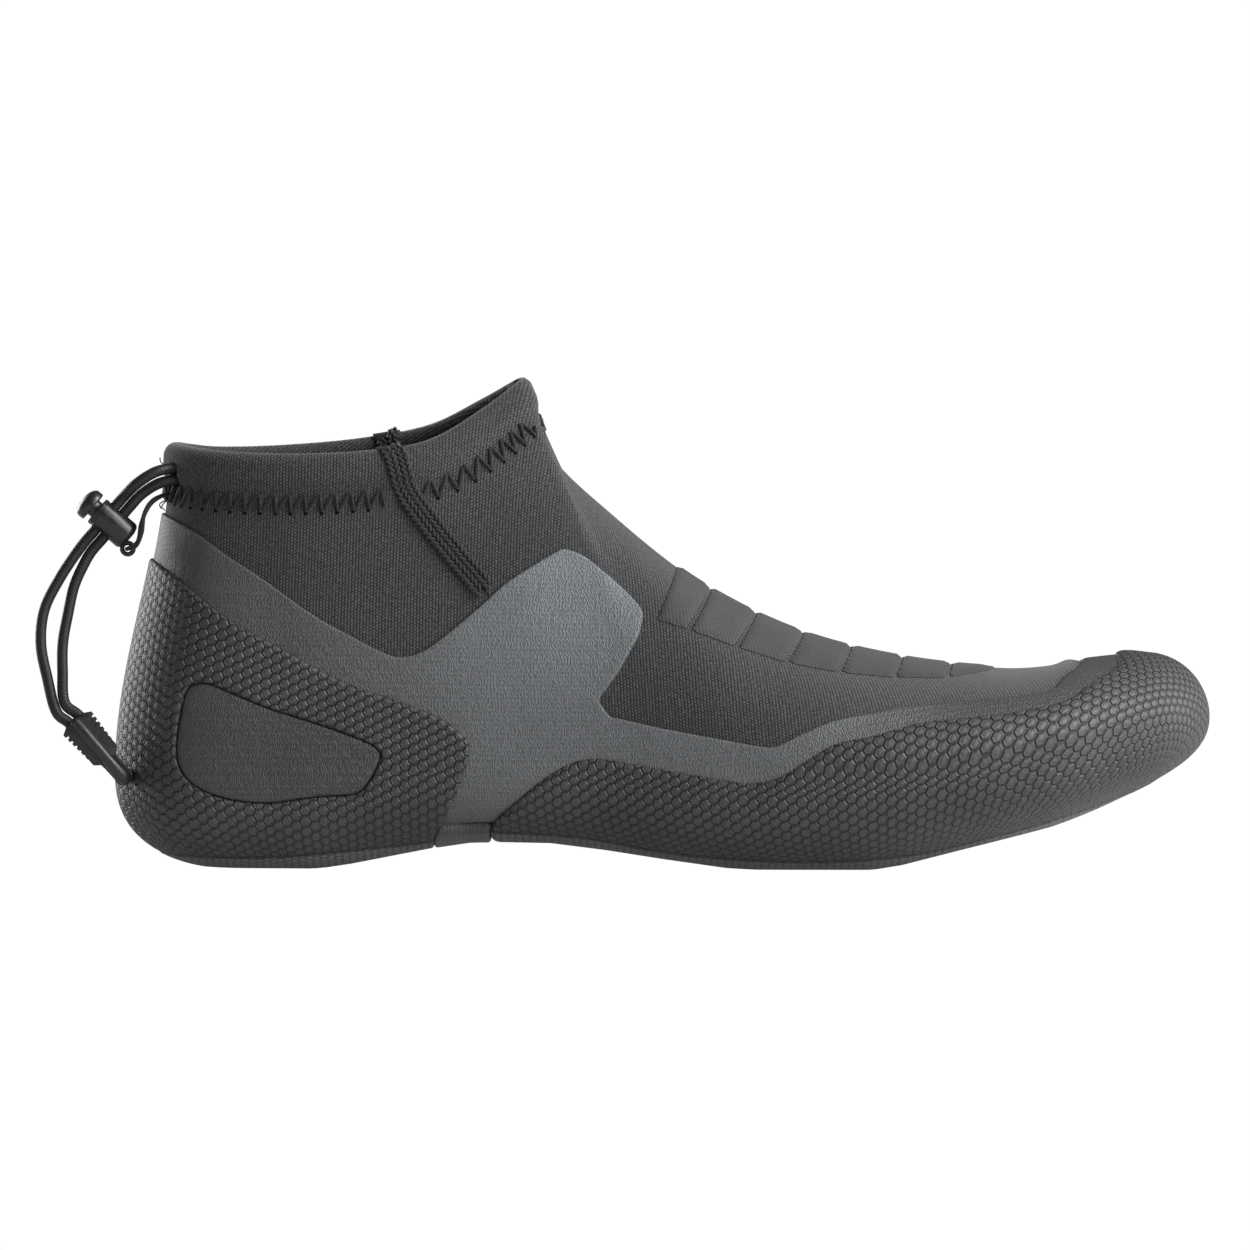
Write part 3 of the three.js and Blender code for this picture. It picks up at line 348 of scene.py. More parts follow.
SQUARENESS = [2.2, 2.3, 2.6, 3, 3, 2.9, 2.8, 2.8, 2.8, 2.9, 3, 3, 3, 2.9, 2.7, 2.5, 2.4]
UNDERSIDE = np.array([
    (-20, -0.5), (10, -0.5), (50, -0.5), (60, 1), (81, 5.1), (90.5, 6.5), (97, 6.6),
    (111.5, 6.3), (125.8, 4.5), (140, 2.3), (156, 0.1), (164, -0.5), (192, -0.5), (200, 0.8),
    (214, 4.3), (238, 10), (256, 15.6), (269, 18.6), (290, 23)])
OUTSOLE_T = 2.3
LAYER_GAP = 0.3
STATIONS = 16
THROAT = 7

# %% The last's surface


def ring_of(lateral, medial):
    """One closed loop: the outer side heel to toe, then the inner side back again."""
    out = np.array(lateral, float) * (1, -1, 1)
    back = np.array(medial, float)[1:-1][::-1]
    return np.vstack([out, back])


OUTLINE = ring_of(OUTLINE_LATERAL, OUTLINE_MEDIAL)
COLLAR = ring_of(COLLAR_LATERAL, COLLAR_MEDIAL)
PULL = ring_of(TOP_PULL, TOP_PULL)


def under(x):
    """Height of the last's own underside at x."""
    return np.interp(x, UNDERSIDE[:, 0], UNDERSIDE[:, 1]) + OUTSOLE_T + LAYER_GAP


def last(s, t, rise=0.0):
    """Below the widest line, with angle a = t pi/2 and squareness n, a section is
    h = sin(a)^(2/n), v = 1 - cos(a)^(2/n) from the spine to the outline; above it, a cubic
    Bezier to the collar or the ridge. "rise" goes straight on past the top, in millimetres."""
    s, t, rise = np.broadcast_arrays(np.asarray(s, float), t, rise)
    u = np.abs(s)
    wide = catmull(OUTLINE, (-s / (2 * STATIONS)) % 1, True)
    pull = catmull(PULL, (-s / (2 * STATIONS)) % 1, True)
    top = np.where((u <= THROAT)[..., None], catmull(COLLAR, (-s / (2 * THROAT)) % 1, True),
                   catmull(RIDGE, np.clip((u - THROAT) / (STATIONS - THROAT), 0, 1)))
    n = np.interp(u, np.arange(17), SQUARENESS)
    spine = np.interp(u, np.arange(17), SPINE_X)
    angle = np.clip(t, 0, 1) * math.pi / 2
    h = np.sin(angle) ** (2 / n)
    v = 1 - np.maximum(np.cos(angle), 0) ** (2 / n)
    x = spine + (wide[..., 0] - spine) * h
    floor = under(x)
    low = np.stack([x, wide[..., 1] * h, floor + (wide[..., 2] - floor) * v], axis=-1)
    lift = np.zeros_like(wide)
    lift[..., 2] = 0.36 * (top[..., 2] - wide[..., 2])
    b = np.clip(t - 1, 0, 1)[..., None]
    high = ((1 - b) ** 3 * wide + 3 * (1 - b) ** 2 * b * (wide + lift)
            + 3 * (1 - b) * b**2 * (top + pull) + b**3 * top)
    high = high - unit(pull) * rise[..., None]
    return np.where((t <= 1)[..., None], low, high)


def even(values, at, count):
    """"count" numbers spread so that the curve "at" moves equal distances between them."""
    p = at(values)
    run = np.concatenate([[0], np.cumsum(np.linalg.norm(np.diff(p, axis=0), axis=1))])
    return np.interp(np.linspace(0, run[-1], count), run, values)


dense = np.linspace(0, 1, 2000)
columns = np.concatenate([even(dense * THROAT, lambda u: last(-u, 1.5), 141),
                          even(THROAT + dense * 9, lambda u: last(-u, 1.0), 181)[1:]])
rows = np.concatenate([even(dense, lambda t: last(-8.0, t), 56),
                       even(1 + dense, lambda t: last(-4.0, t), 85)[1:]])
print(len(columns), "stations a side,", len(rows), "rows")

# %% [markdown]
# The fine net below is cut once into triangles. Points of the two sides that meet on the
# spine, the ridge and the toe's tip become one, so that no layer has a crack there. Each
# corner keeps its normal, its station and row, and its distance from the collar's edge.

# %% The fine net


def weld(points, faces):
    """Corners at the same place become one; faces that lose an edge are dropped."""
    _, first, back = np.unique(np.round(points * 1e4).astype(np.int64), axis=0,
                               return_index=True, return_inverse=True)
    faces = back.ravel()[faces]
    good = ((faces[:, 0] != faces[:, 1]) & (faces[:, 1] != faces[:, 2])
            & (faces[:, 2] != faces[:, 0]))
    return first, faces[good], good


def corner_normals(points, faces):
    """Sum of the face normals round each corner, each weighted by its area."""
    a, b, c = (points[faces[:, k]] for k in range(3))
    n = np.cross(b - a, c - a)
    total = np.zeros_like(points)
    for axis in range(3):
        for k in range(3):
            total[:, axis] += np.bincount(faces[:, k], n[:, axis], len(points))
    return unit(total)


RISE = np.array([0.3, 0.7, 1.2])
all_t = np.concatenate([rows, np.full(3, 2.0)])
all_rise = np.concatenate([np.zeros(len(rows)), RISE])
net_points, net_faces, net_side, net_u, net_t = [], [], [], [], []
for side in (-1, 1):
    net_points.append(last(side * columns[:, None], all_t[None], all_rise[None]).reshape(-1, 3))
    quads = grid_faces(len(columns), len(all_t))
    i, j = np.divmod(quads[:, 0], len(all_t))
    quads = quads[(j < len(rows) - 1) | (columns[i] < THROAT - 1e-9)]
    quads = quads[:, ::-1] if side < 0 else quads
    tri = np.concatenate([quads[:, [0, 1, 2]], quads[:, [0, 2, 3]]])
    net_faces.append(tri + (0 if side < 0 else len(net_points[0])))
    net_side.append(np.full(len(tri), side))
    net_u.append(np.repeat(columns, len(all_t)))
    net_t.append(np.tile(all_t + all_rise, len(columns)))
net_points = np.concatenate(net_points)
first, faces, good = weld(net_points, np.concatenate(net_faces))
points = net_points[first]
normals = corner_normals(points, faces)
side = np.concatenate(net_side)[good]
station = np.concatenate(net_u)[first]
row = np.concatenate(net_t)[first]
# The net folds over itself for a tenth of a millimetre where the spine ends under the toes.
normals[(row < 0.05) & (normals[:, 2] > 0)] *= -1
print("net:", len(points), "points", len(faces), "triangles; outward share",
      round(float((normals[:, 2][row > 1.9] > -0.2).mean()), 2))

# %% Distance from the collar


def nearest_on_line(p, line, closed=False):
    """Shortest distance from each point to a polyline, over all its spans at once."""
    a = line if closed else line[:-1]
    b = np.roll(line, -1, axis=0) if closed else line[1:]
    best = np.full(len(p), 1e9)
    for start in range(0, len(p), 4000):
        q = p[start:start + 4000, None]
        d = b - a
        k = np.clip(((q - a) * d).sum(-1) / (d * d).sum(-1), 0, 1)
        gap = np.linalg.norm(q - a - d * k[..., None], axis=-1)
        best[start:start + 4000] = gap.min(axis=1)
    return best


collar_line = catmull(COLLAR, np.linspace(0, 1, 160, endpoint=False), True)
to_collar = np.full(len(points), 99.0)
close = points[:, 2] > 75
to_collar[close] = nearest_on_line(points[close], collar_line, closed=True)
to_collar = np.where(row > 2, 2 - row, to_collar)
X, Y, Z, NX, NY, NZ, U, T, C = range(9)
net = (np.column_stack([points, normals, station, row, to_collar]), faces, side)
print("collar edge", round(length_of(collar_line), 1), "mm round")

# %% [markdown]
# Where one material ends and the next begins is drawn as outlines in the side view. Each
# outline gives every corner of the net a signed distance, in millimetres, positive inside.
# A piece is the part of the net where its distance is positive, cut exactly along the line.

# %% Side-view outlines
OVERLAY_TOP = [
    (-10, 97), (4, 92.5), (11.8, 90.6), (20.4, 86.3), (29.7, 79.8), (38.4, 74.2), (51.1, 65.2),
    (62, 59.1), (68.5, 55.8), (72.8, 54.4), (78.5, 55.5), (85.7, 60.5), (95, 68.3),
    (100.5, 73.2), (112.7, 80.7), (115.5, 81.3), (119.9, 79.6), (123.8, 76.5), (131, 70.1),
    (134.6, 65.7), (134.4, 62.4), (133.2, 58.6), (128.8, 50.8), (123.5, 43.5), (126.1, 39.6),
    (138.8, 36.8), (154.6, 33.9), (163.9, 32.3), (168.2, 32.3), (174.6, 35.3), (183.3, 38.6),
    (195.4, 40.7), (202.3, 41.9), (220.4, 43.1), (232.4, 44.3), (238.5, 45.6), (242.1, 48.8),
    (246.2, 51.3), (248.5, 54), (249, 62)]
HEEL_EDGE = [
    (-10, 88), (0, 84), (9.7, 79.1), (17.9, 73.4), (30.4, 63.4), (41.2, 57.6), (58.4, 48.3),
    (72.8, 43.2), (83.5, 38.9), (89.2, 34.6), (91, 31), (89.2, 23.9), (85.7, 16.7), (82.8, 12),
    (81.8, 9.7), (81.1, 5.1), (81, -6)]
HEEL_WINDOW = [
    (20.4, 46.4), (25.1, 47.6), (30.8, 45.3), (40.8, 41.3), (52.3, 37.7), (63.1, 33.8),
    (67.8, 31.3), (68.5, 28.4), (65.2, 22.3), (61.6, 19.8), (52.3, 19.1), (40.1, 17.6),
    (29.4, 18.7), (21.5, 22), (17.9, 27), (17.4, 32.7), (18.6, 40.7)]
FOREFOOT_EDGE = [
    (97.2, -6), (97, 6), (96.4, 12.4), (104.3, 19.6), (111.5, 24.9), (117.3, 27.9),
    (123.8, 28.9), (133.1, 27.4), (143.8, 25.6), (154.6, 23.9), (161.8, 23.1), (168.9, 24.6),
    (176.1, 28.9), (183.3, 32.8), (192.5, 34.6), (204.2, 37.5), (215, 38.6), (229.3, 40),
    (241.4, 42.7), (246.8, 46), (250, 47.7), (253.9, 49.7), (256, 52), (255, 55), (254.5, 62)]
SEAM = [
    (58, 127), (65.5, 115.5), (71.1, 106.9), (74.9, 96.4), (81.1, 87.7), (88.2, 79),
    (95.6, 70.1), (103, 55), (108, 38), (110, 20), (110, -6)]
PAD_LINES = [
    ((146.5, 84), (137.6, 63.6)), ((155, 76), (146.2, 60.9)), ((167, 70), (158.2, 56.6)),
    ((179.3, 65), (170.6, 52.6)), ((191, 61), (184, 50)), ((204.6, 59), (198, 48.6)),
    ((217, 57), (211.5, 48.3)), ((227.2, 56), (224.8, 50.2))]
PARTING = [(-20, 8), (11.4, 6.2), (30.8, 5.6), (45, 5.9), (59.5, 7.3), (81, 9.8), (96.4, 12),
           (118.6, 11), (136, 8.1), (150, 6.3), (176, 5.2), (200.6, 6.6), (222, 11), (241, 16),
           (256.6, 21), (290, 33)]

# %% Signed distances


def soften(line, corners=(), closed=False):
    """The outline redrawn as a smooth curve, except at the listed corners."""
    line = np.asarray(line, float)
    if closed:
        return catmull(line, np.linspace(0, 1, len(line) * 6, endpoint=False), True)
    stops = [0, *corners, len(line) - 1]
    parts = [catmull(line[a:b + 1], np.linspace(0, 1, (b - a) * 6 + 1))[:-1]
             for a, b in zip(stops[:-1], stops[1:])]
    return np.vstack([*parts, line[-1]])


def inside_distance(p, outline):
    """Distance to a closed outline, positive inside. A point is inside when a ray from it
    crosses the outline an odd number of times."""
    a, b = outline, np.roll(outline, -1, axis=0)
    crossings = np.zeros(len(p), int)
    for (x0, z0), (x1, z1) in zip(a, b):
        if z0 != z1:
            hit = (z0 > p[:, 1]) != (z1 > p[:, 1])
            crossings += hit & (p[:, 0] < (x1 - x0) * (p[:, 1] - z0) / (z1 - z0) + x0)
    return nearest_on_line(p, outline, closed=True) * np.where(crossings % 2, 1, -1)


heel_outline = np.vstack([soften(HEEL_EDGE), [(-30, -6), (-30, 88)]])
forefoot_outline = np.vstack([soften(FOREFOOT_EDGE), [(310, 62), (310, -6)]])
overlay_outline = np.vstack([soften(OVERLAY_TOP, corners=(23, 24)),
                             [(310, 62), (310, 9), (97, 9), (82, 9), (-30, 9), (-30, 97)]])
seam_outline = np.vstack([soften(SEAM), [(310, -6), (310, 127)]])
window_outline = soften(HEEL_WINDOW, closed=True)
parting_outline = np.vstack([soften(PARTING), [(290, 150), (-20, 150)]])
side_view = net[0][:, [X, Z]]
heel_in = inside_distance(side_view, heel_outline)
fore_in = inside_distance(side_view, forefoot_outline)
overlay_in = inside_distance(side_view, overlay_outline)
front_in = inside_distance(side_view, seam_outline)
window_in = inside_distance(side_view, window_outline)
parting_in = inside_distance(side_view, parting_outline)
print("distances ready:", len(heel_in), "corners")

# %% [markdown]
# Cutting works like marching squares: a triangle that the line crosses is split where the
# distance passes the level. A corner that lies very close to the line slides onto it first,
# which keeps long thin splinters out of the mesh.

# %% Cutting the net along a level of a field


def with_field(mesh, *fields):
    """The mesh with more numbers on each corner."""
    return (np.column_stack([mesh[0], *fields]), mesh[1], mesh[2])


def compact(mesh):
    """Only the corners that a face still uses."""
    v, f, s = mesh
    used = np.zeros(len(v), bool)
    used[f.ravel()] = True
    return v[used], (np.cumsum(used) - 1)[f], s


def cut(mesh, column, level=0.0, both=False, snap=0.14):
    """Splits every triangle where the numbers in "column" pass "level", and keeps the part
    above it, or both parts."""
    v, f, s = mesh[0].copy(), mesh[1], mesh[2]
    value = v[:, column] - level
    edges = np.unique(np.sort(np.vstack([f[:, [0, 1]], f[:, [1, 2]], f[:, [2, 0]]]), axis=1), axis=0)
    for _ in range(2):
        a, b = edges[value[edges[:, 0]] * value[edges[:, 1]] < 0].T
        k = value[a] / (value[a] - value[b])
        near_a, near_b = k < snap, k > 1 - snap
        at_a = v[a[near_a]] + (v[b[near_a]] - v[a[near_a]]) * k[near_a, None]
        at_b = v[a[near_b]] + (v[b[near_b]] - v[a[near_b]]) * k[near_b, None]
        v[a[near_a]] = at_a
        v[b[near_b]] = at_b
        value[a[near_a]] = 0
        value[b[near_b]] = 0
    a, b = edges[value[edges[:, 0]] * value[edges[:, 1]] < 0].T
    k = (value[a] / (value[a] - value[b]))[:, None]
    keys = a.astype(np.int64) * len(v) + b
    extra = v[a] + (v[b] - v[a]) * k
    extra[:, column] = level
    count = len(v)
    v = np.vstack([v, extra])

    def between(i, j):
        """The new corner on edge i-j, or the end of it that lies on the line."""
        low, high = np.minimum(i, j).astype(np.int64), np.maximum(i, j)
        key = low * count + high
        place = np.clip(np.searchsorted(keys, key), 0, max(len(keys) - 1, 0))
        found = keys[place] == key if len(keys) else np.zeros(len(key), bool)
        return np.where(found, count + place, np.where(value[i] == 0, i, j))

    out = value[f] < 0
    n_out = out.sum(axis=1)
    inside, outside = [f[n_out == 0]], [f[n_out == 3]]
    in_side, out_side = [s[n_out == 0]], [s[n_out == 3]]
    for n, mark in ((1, True), (2, False)):
        chosen = n_out == n
        g = f[chosen]
        turn = np.argmax(out[chosen] == mark, axis=1)
        o, j, k2 = (g[np.arange(len(g)), (turn + m) % 3] for m in range(3))
        p, q = between(o, j), between(o, k2)
        tip, rest1, rest2 = np.stack([o, p, q], 1), np.stack([p, j, k2], 1), np.stack([p, k2, q], 1)
        (outside if mark else inside).append(tip)
        (out_side if mark else in_side).append(s[chosen])
        (inside if mark else outside).extend([rest1, rest2])
        (in_side if mark else out_side).extend([s[chosen]] * 2)
    f = np.vstack(inside + (outside if both else []))
    s = np.concatenate(in_side + (out_side if both else []))
    good = (f[:, 0] != f[:, 1]) & (f[:, 1] != f[:, 2]) & (f[:, 2] != f[:, 0])
    return compact((v, f[good], s[good]))


def region(field, steps, base=None, *more):
    """The net where "field" is positive, with extra cuts at the listed distances from its
    edge, so that a rounded edge has rings of corners to bend at. Column 9 holds the field."""
    mesh = with_field(net if base is None else base, field, *more)
    keep = (mesh[0][mesh[1], 9] > -0.5).any(axis=1)
    mesh = compact((mesh[0], mesh[1][keep], mesh[2][keep]))
    mesh = cut(mesh, 9, 0.0)
    for d in steps:
        mesh = cut(mesh, 9, d, both=True)
    return mesh


# %% [markdown]
# A layer of material is a closed shell between two offsets of its cut of the net. At the cut
# edge the outer face comes down in a quarter circle, as a die-cut or moulded edge does.

# %% Layers
GROUND_GAP = 0.02


def round_edge(d, radius, start=0.5):
    """Share of the full thickness at distance d from the edge: from "start" at the cut, up a
    quarter circle to 1 at "radius"."""
    k = np.clip(d / radius, 0, 1)
    return start + (1 - start) * np.sqrt(np.maximum(0, 1 - (1 - k) ** 2))


def layer(name, mesh, outer, inner, uv_of, lift=None, attributes=None):
    """A closed shell: outer face at points + outer x normals, inner face at points + inner x
    normals or + lift, and a wall round every open edge. Corners where both meet become one."""
    v, f, s = mesh
    n = len(v)
    normal = unit(v[:, NX:NZ + 1])
    a = v[:, X:Z + 1] + normal * np.asarray(outer)[:, None]
    b = v[:, X:Z + 1] + (normal * np.asarray(inner)[:, None] if lift is None else lift)
    for p in (a, b):
        p[:, 2] = np.maximum(p[:, 2], GROUND_GAP)
    twin = np.where(np.linalg.norm(a - b, axis=1) < 1e-6, np.arange(n), n + np.arange(n))
    half = np.vstack([f[:, [0, 1]], f[:, [1, 2]], f[:, [2, 0]]])
    half_side = np.tile(s, 3)
    forward = half[:, 0].astype(np.int64) * n + half[:, 1]
    back = half[:, 1].astype(np.int64) * n + half[:, 0]
    edge = ~np.isin(back, forward)
    p, q = half[edge].T
    wall = np.vstack([np.stack([q, p, twin[p]], 1), np.stack([q, twin[p], twin[q]], 1)])
    source = np.vstack([np.stack([q, p, p], 1), np.stack([q, p, q], 1)])
    tri = np.vstack([f, twin[f[:, ::-1]], wall])
    origin = np.vstack([f, f[:, ::-1], source])
    sides = np.concatenate([s, s, half_side[edge], half_side[edge]])
    good = (tri[:, 0] != tri[:, 1]) & (tri[:, 1] != tri[:, 2]) & (tri[:, 2] != tri[:, 0])
    tri, origin, sides = tri[good], origin[good], sides[good]
    uv = uv_of(v[origin.ravel(), U], v[origin.ravel(), T], np.repeat(sides, 3))
    points = np.vstack([a, b])
    values = {k: np.concatenate([w, w]) for k, w in (attributes or {}).items()}
    used = np.zeros(len(points), bool)
    used[tri.ravel()] = True
    index = np.cumsum(used) - 1
    values = {k: w[used] for k, w in values.items()}
    return make_object(name, points[used], index[tri], uv, values)


# %% [markdown]
# Patterns such as knit ribs and the hexagons of the rubber should keep their size on every
# curve of the boot. So the surface is flattened first, like a cut pattern: starting from a
# round map, each triangle is turned to its best-fitting place and the corners are solved
# again, until the triangles are as little stretched as possible.

# %% Flattening the surface


def flatten(points, faces, loop, rounds=60):
    """As-rigid-as-possible map. Places and edges are complex numbers. The first map puts the
    boundary on a circle and every other corner at its neighbours' mean; then, in turn, each
    triangle gets the turn sum(w du conj(dx)) / |..|, and cot-weighted edges are solved for."""
    n = len(points)
    link = np.zeros((n, n))
    for k in range(3):
        i, j = faces[:, k], faces[:, (k + 1) % 3]
        link[i, j] = link[j, i] = 1
    lap = np.diag(link.sum(1)) - link
    run = np.linalg.norm(points[loop] - np.roll(points[loop], 1, axis=0), axis=1).cumsum()
    z = np.zeros(n, complex)
    z[loop] = np.exp(1j * TAU * run / run[-1]) * run[-1] / TAU
    free = np.setdiff1d(np.arange(n), loop)
    z[free] = np.linalg.solve(lap[np.ix_(free, free)], -lap[np.ix_(free, loop)] @ z[loop])
    p0, p1, p2 = (points[faces[:, k]] for k in range(3))
    e1 = unit(p1 - p0)
    e2 = unit(np.cross(np.cross(e1, p2 - p0), e1))
    x = np.stack([np.zeros(len(faces)), np.linalg.norm(p1 - p0, axis=1) + 0j,
                  ((p2 - p0) * e1).sum(1) + 1j * ((p2 - p0) * e2).sum(1)], axis=1)
    weights, matrix = [], np.zeros((n, n))
    for k in range(3):
        i, j, o = k, (k + 1) % 3, (k + 2) % 3
        a, b = x[:, i] - x[:, o], x[:, j] - x[:, o]
        w = np.clip((a * b.conj()).real / np.maximum(abs((a.conj() * b).imag), 1e-9), 0.02, 20)
        weights.append(w)
        for r, c, sign in ((i, i, 1), (j, j, 1), (i, j, -1), (j, i, -1)):
            np.add.at(matrix, (faces[:, r], faces[:, c]), sign * w)
    matrix[0, 0] += 1e-3
    solve = np.linalg.inv(matrix)
    for _ in range(rounds):
        turn = sum(weights[k] * (z[faces[:, k]] - z[faces[:, (k + 1) % 3]])
                   * (x[:, k] - x[:, (k + 1) % 3]).conj() for k in range(3))
        turn = turn / np.maximum(abs(turn), 1e-12)
        right = np.zeros(n, complex)
        for k in range(3):
            pull = weights[k] * turn * (x[:, k] - x[:, (k + 1) % 3])
            np.add.at(right, faces[:, k], pull)
            np.add.at(right, faces[:, (k + 1) % 3], -pull)
        z = solve @ right
    stretch = abs(z[faces[:, 0]] - z[faces[:, 1]]) / abs(x[:, 1])
    print("flattened:", n, "corners, stretch", np.round(np.percentile(stretch, [2, 50, 98]), 2))
    return z


def flat_map(u_values, t_values, cut_at_heel):
    """Flattens the net between the given stations and rows, and returns a function from
    (station, row, side) to a place in millimetres, by bilinear interpolation."""
    nu, nt = len(u_values), len(t_values)
    quads = grid_faces(nu, nt)[:, ::-1]
    places = [last(s * u_values[:, None], t_values[None]).reshape(-1, 3) for s in (-1, 1)]
    tri = np.concatenate([quads[:, [0, 1, 2]], quads[:, [0, 2, 3]]])
    tri = np.concatenate([tri, tri[:, ::-1] + nu * nt])
    both = np.vstack(places)
    keyed = both.copy()
    if cut_at_heel:
        keyed[nu * nt:nu * nt + nt, 1] += 500
    keys = np.round(keyed * 1e4).astype(np.int64)
    _, first, back = np.unique(keys, axis=0, return_index=True, return_inverse=True)
    back = back.ravel()
    f = back[tri]
    f = f[(f[:, 0] != f[:, 1]) & (f[:, 1] != f[:, 2]) & (f[:, 2] != f[:, 0])]
    index = back.reshape(2, nu, nt)
    low = np.concatenate([index[0, :, 0], index[1, ::-1, 0][1:]])
    if cut_at_heel:
        collar_end = int(np.searchsorted(u_values, THROAT))
        loop = np.concatenate([low, index[1, 0, 1:], index[1, 1:collar_end + 1, -1],
                               index[0, :collar_end, -1][::-1], index[0, 0, ::-1][1:-1]])
    else:
        low = np.concatenate([index[0, ::-1, 0], index[1, 1:, 0]])
        loop = np.concatenate([low, index[1, -1, 1:], index[1, :-1, -1][::-1],
                               index[0, 1:, -1], index[0, -1, ::-1][1:-1]])
    z = flatten(both[first], f, loop)[index]
    i0 = int(np.searchsorted(u_values, 9 if cut_at_heel else 3))
    j0 = int(np.searchsorted(t_values, 1.0))
    up = z[0, i0, j0 + 1] - z[0, i0, j0]
    z = z / (up / abs(up)) * 1j
    z = z - z[0, i0, j0]

    def lookup(u, t, s):
        """The flat place, from the four corners of the cell that holds (u, t)."""
        gi = np.interp(u, u_values, np.arange(nu))
        gj = np.interp(np.minimum(t, 2), t_values, np.arange(nt))
        i, j = np.minimum(gi.astype(int), nu - 2), np.minimum(gj.astype(int), nt - 2)
        a, b = gi - i, gj - j
        k = (s > 0).astype(int)
        w = (z[k, i, j] * (1 - a) * (1 - b) + z[k, i + 1, j] * a * (1 - b)
             + z[k, i, j + 1] * (1 - a) * b + z[k, i + 1, j + 1] * a * b)
        return np.stack([w.real, w.imag], axis=-1)

    return lookup


def picked(values, count):
    """About "count" of the sorted values, the first and last among them."""
    return values[np.unique(np.linspace(0, len(values) - 1, count).astype(int))]


side_rows = rows[rows > 0.3]
boot_stations = np.concatenate([picked(columns[columns <= THROAT + 1e-9], 25),
                                picked(columns[columns > THROAT + 1e-9], 30)])
boot_uv = flat_map(boot_stations, picked(side_rows, 20), True)
heel_uv = flat_map(picked(columns[columns <= 5.8], 24), picked(side_rows, 22), False)

# %% [markdown]
# The quarter and the vamp are 3 mm foam rubber laminated with knit on both faces. Only their
# tops are tucked into the hem and their lower edges hide under the rubber. Folds of the knit
# gather a little at the front of the toes, where the vamp meets the toe cap.

# %% Quarter and vamp
NEOPRENE_T = 3.0
HEM_HEIGHT = 13.5
HEM_T = 1.3
EDGE_GAP = 0.3


def least(*fields):
    """Inside all of several regions at once."""
    return np.min(fields, axis=0)


def some_faces(keep):
    """The net with only the faces that are kept."""
    return net[0], net[1][keep], net[2][keep]


def toe_gathers(v):
    """Two low soft folds across the ridge in front of the toes."""
    fold = 0.9 * np.exp(-((v[:, X] - 243.5) / 2.6) ** 2) - 0.5 * np.exp(-((v[:, X] - 248.4) / 1.7) ** 2)
    return fold * ease(46, 51, v[:, Z])


panel_in = least((net[0][:, T] - 0.56) * 40, net[0][:, C] - 10.6)
quarter_mesh = region(least(panel_in, -front_in - EDGE_GAP / 2), (0.6,))
quarter = layer("quarter", quarter_mesh, np.zeros(len(quarter_mesh[0])),
                np.full(len(quarter_mesh[0]), -NEOPRENE_T), boot_uv)
vamp_mesh = region(least(panel_in, front_in - EDGE_GAP / 2), (0.6,))
vamp = layer("vamp", vamp_mesh, toe_gathers(vamp_mesh[0]),
             np.full(len(vamp_mesh[0]), -NEOPRENE_T), boot_uv)

# %% [markdown]
# The hem is the panel's own knit folded over the draw cord and sewn down. Its section is a
# flattened tube: full at the fold, pressed thin where the needle catches it. The eyelet is a
# small pocket in it, where the cord comes out.

# %% Folded hem
MID = -NEOPRENE_T / 2
HEM_HALF = NEOPRENE_T / 2 + 0.45 + HEM_T
FOLD_R = 3.6
EYELET = np.array([15.5, -13.5, 99.8])


def hem_half(c, extra=0.0):
    """Half the hem's thickness at distance c below its top: a quarter circle of radius
    FOLD_R at the fold, full for a while, pressed down towards the sewn edge."""
    k = np.clip((c + extra) / (FOLD_R + extra), 0, 1)
    full = np.sqrt(np.maximum(0, 1 - (1 - k) ** 2))
    pressed = 1 - 0.47 * ease(6.5, 11.8, c)
    return (HEM_HALF + extra) * full * pressed


def eyelet_pocket(v):
    """How deep the eyelet sinks below the hem's outer face: a steep-sided oval."""
    d = (v[:, X:Z + 1] - EYELET) / np.array([2.6, 2.6, 3.9])
    return 2.6 * (1 - ease(0.72, 1.0, np.linalg.norm(d, axis=1)))


collar_net = some_faces((net[0][net[1], C] < 20).all(axis=1))
FOLD_STEPS = (0.08, 0.3, 0.7, 1.2, 1.9, 2.7, 3.6)
hems = {}
for name, keep in (("hem_rear", -front_in), ("hem_front", front_in)):
    mesh = region(least(HEM_HEIGHT - net[0][:, C], keep - EDGE_GAP / 2), (0.4,), collar_net)
    mesh = cut(mesh, C, 0.0)
    for depth in FOLD_STEPS:
        mesh = cut(mesh, C, depth, both=True)
    v = mesh[0]
    half = hem_half(np.maximum(v[:, C], 0))
    tuck = 0.35 * (1 - ease(0, 0.8, HEM_HEIGHT - v[:, C]))
    hems[name] = layer(name, mesh, MID + half - np.minimum(tuck + eyelet_pocket(v), half),
                       MID - half + tuck, boot_uv, attributes={"below_top": v[:, C]})

# %% [markdown]
# A bound tape covers the side seam on each side, folded over the collar so that it also
# lies inside. It is the hem's own section made a little thicker, cut 5.8 mm wide.

# %% Seam tape
TAPE_W = 5.8
TAPE_T = 0.6


def tape_offsets(v):
    """Outer and inner face of the tape: over the hem above, on the panel below."""
    c = v[:, C]
    on_hem = 1 - ease(HEM_HEIGHT - 0.5, HEM_HEIGHT + 1.5, c)
    half = hem_half(np.maximum(c, -0.6), 0.6)
    out = on_hem * (MID + half) + (1 - on_hem) * (LAYER_GAP + TAPE_T)
    inn = on_hem * (MID - half) + (1 - on_hem) * (-NEOPRENE_T - LAYER_GAP - TAPE_T)
    return out, inn


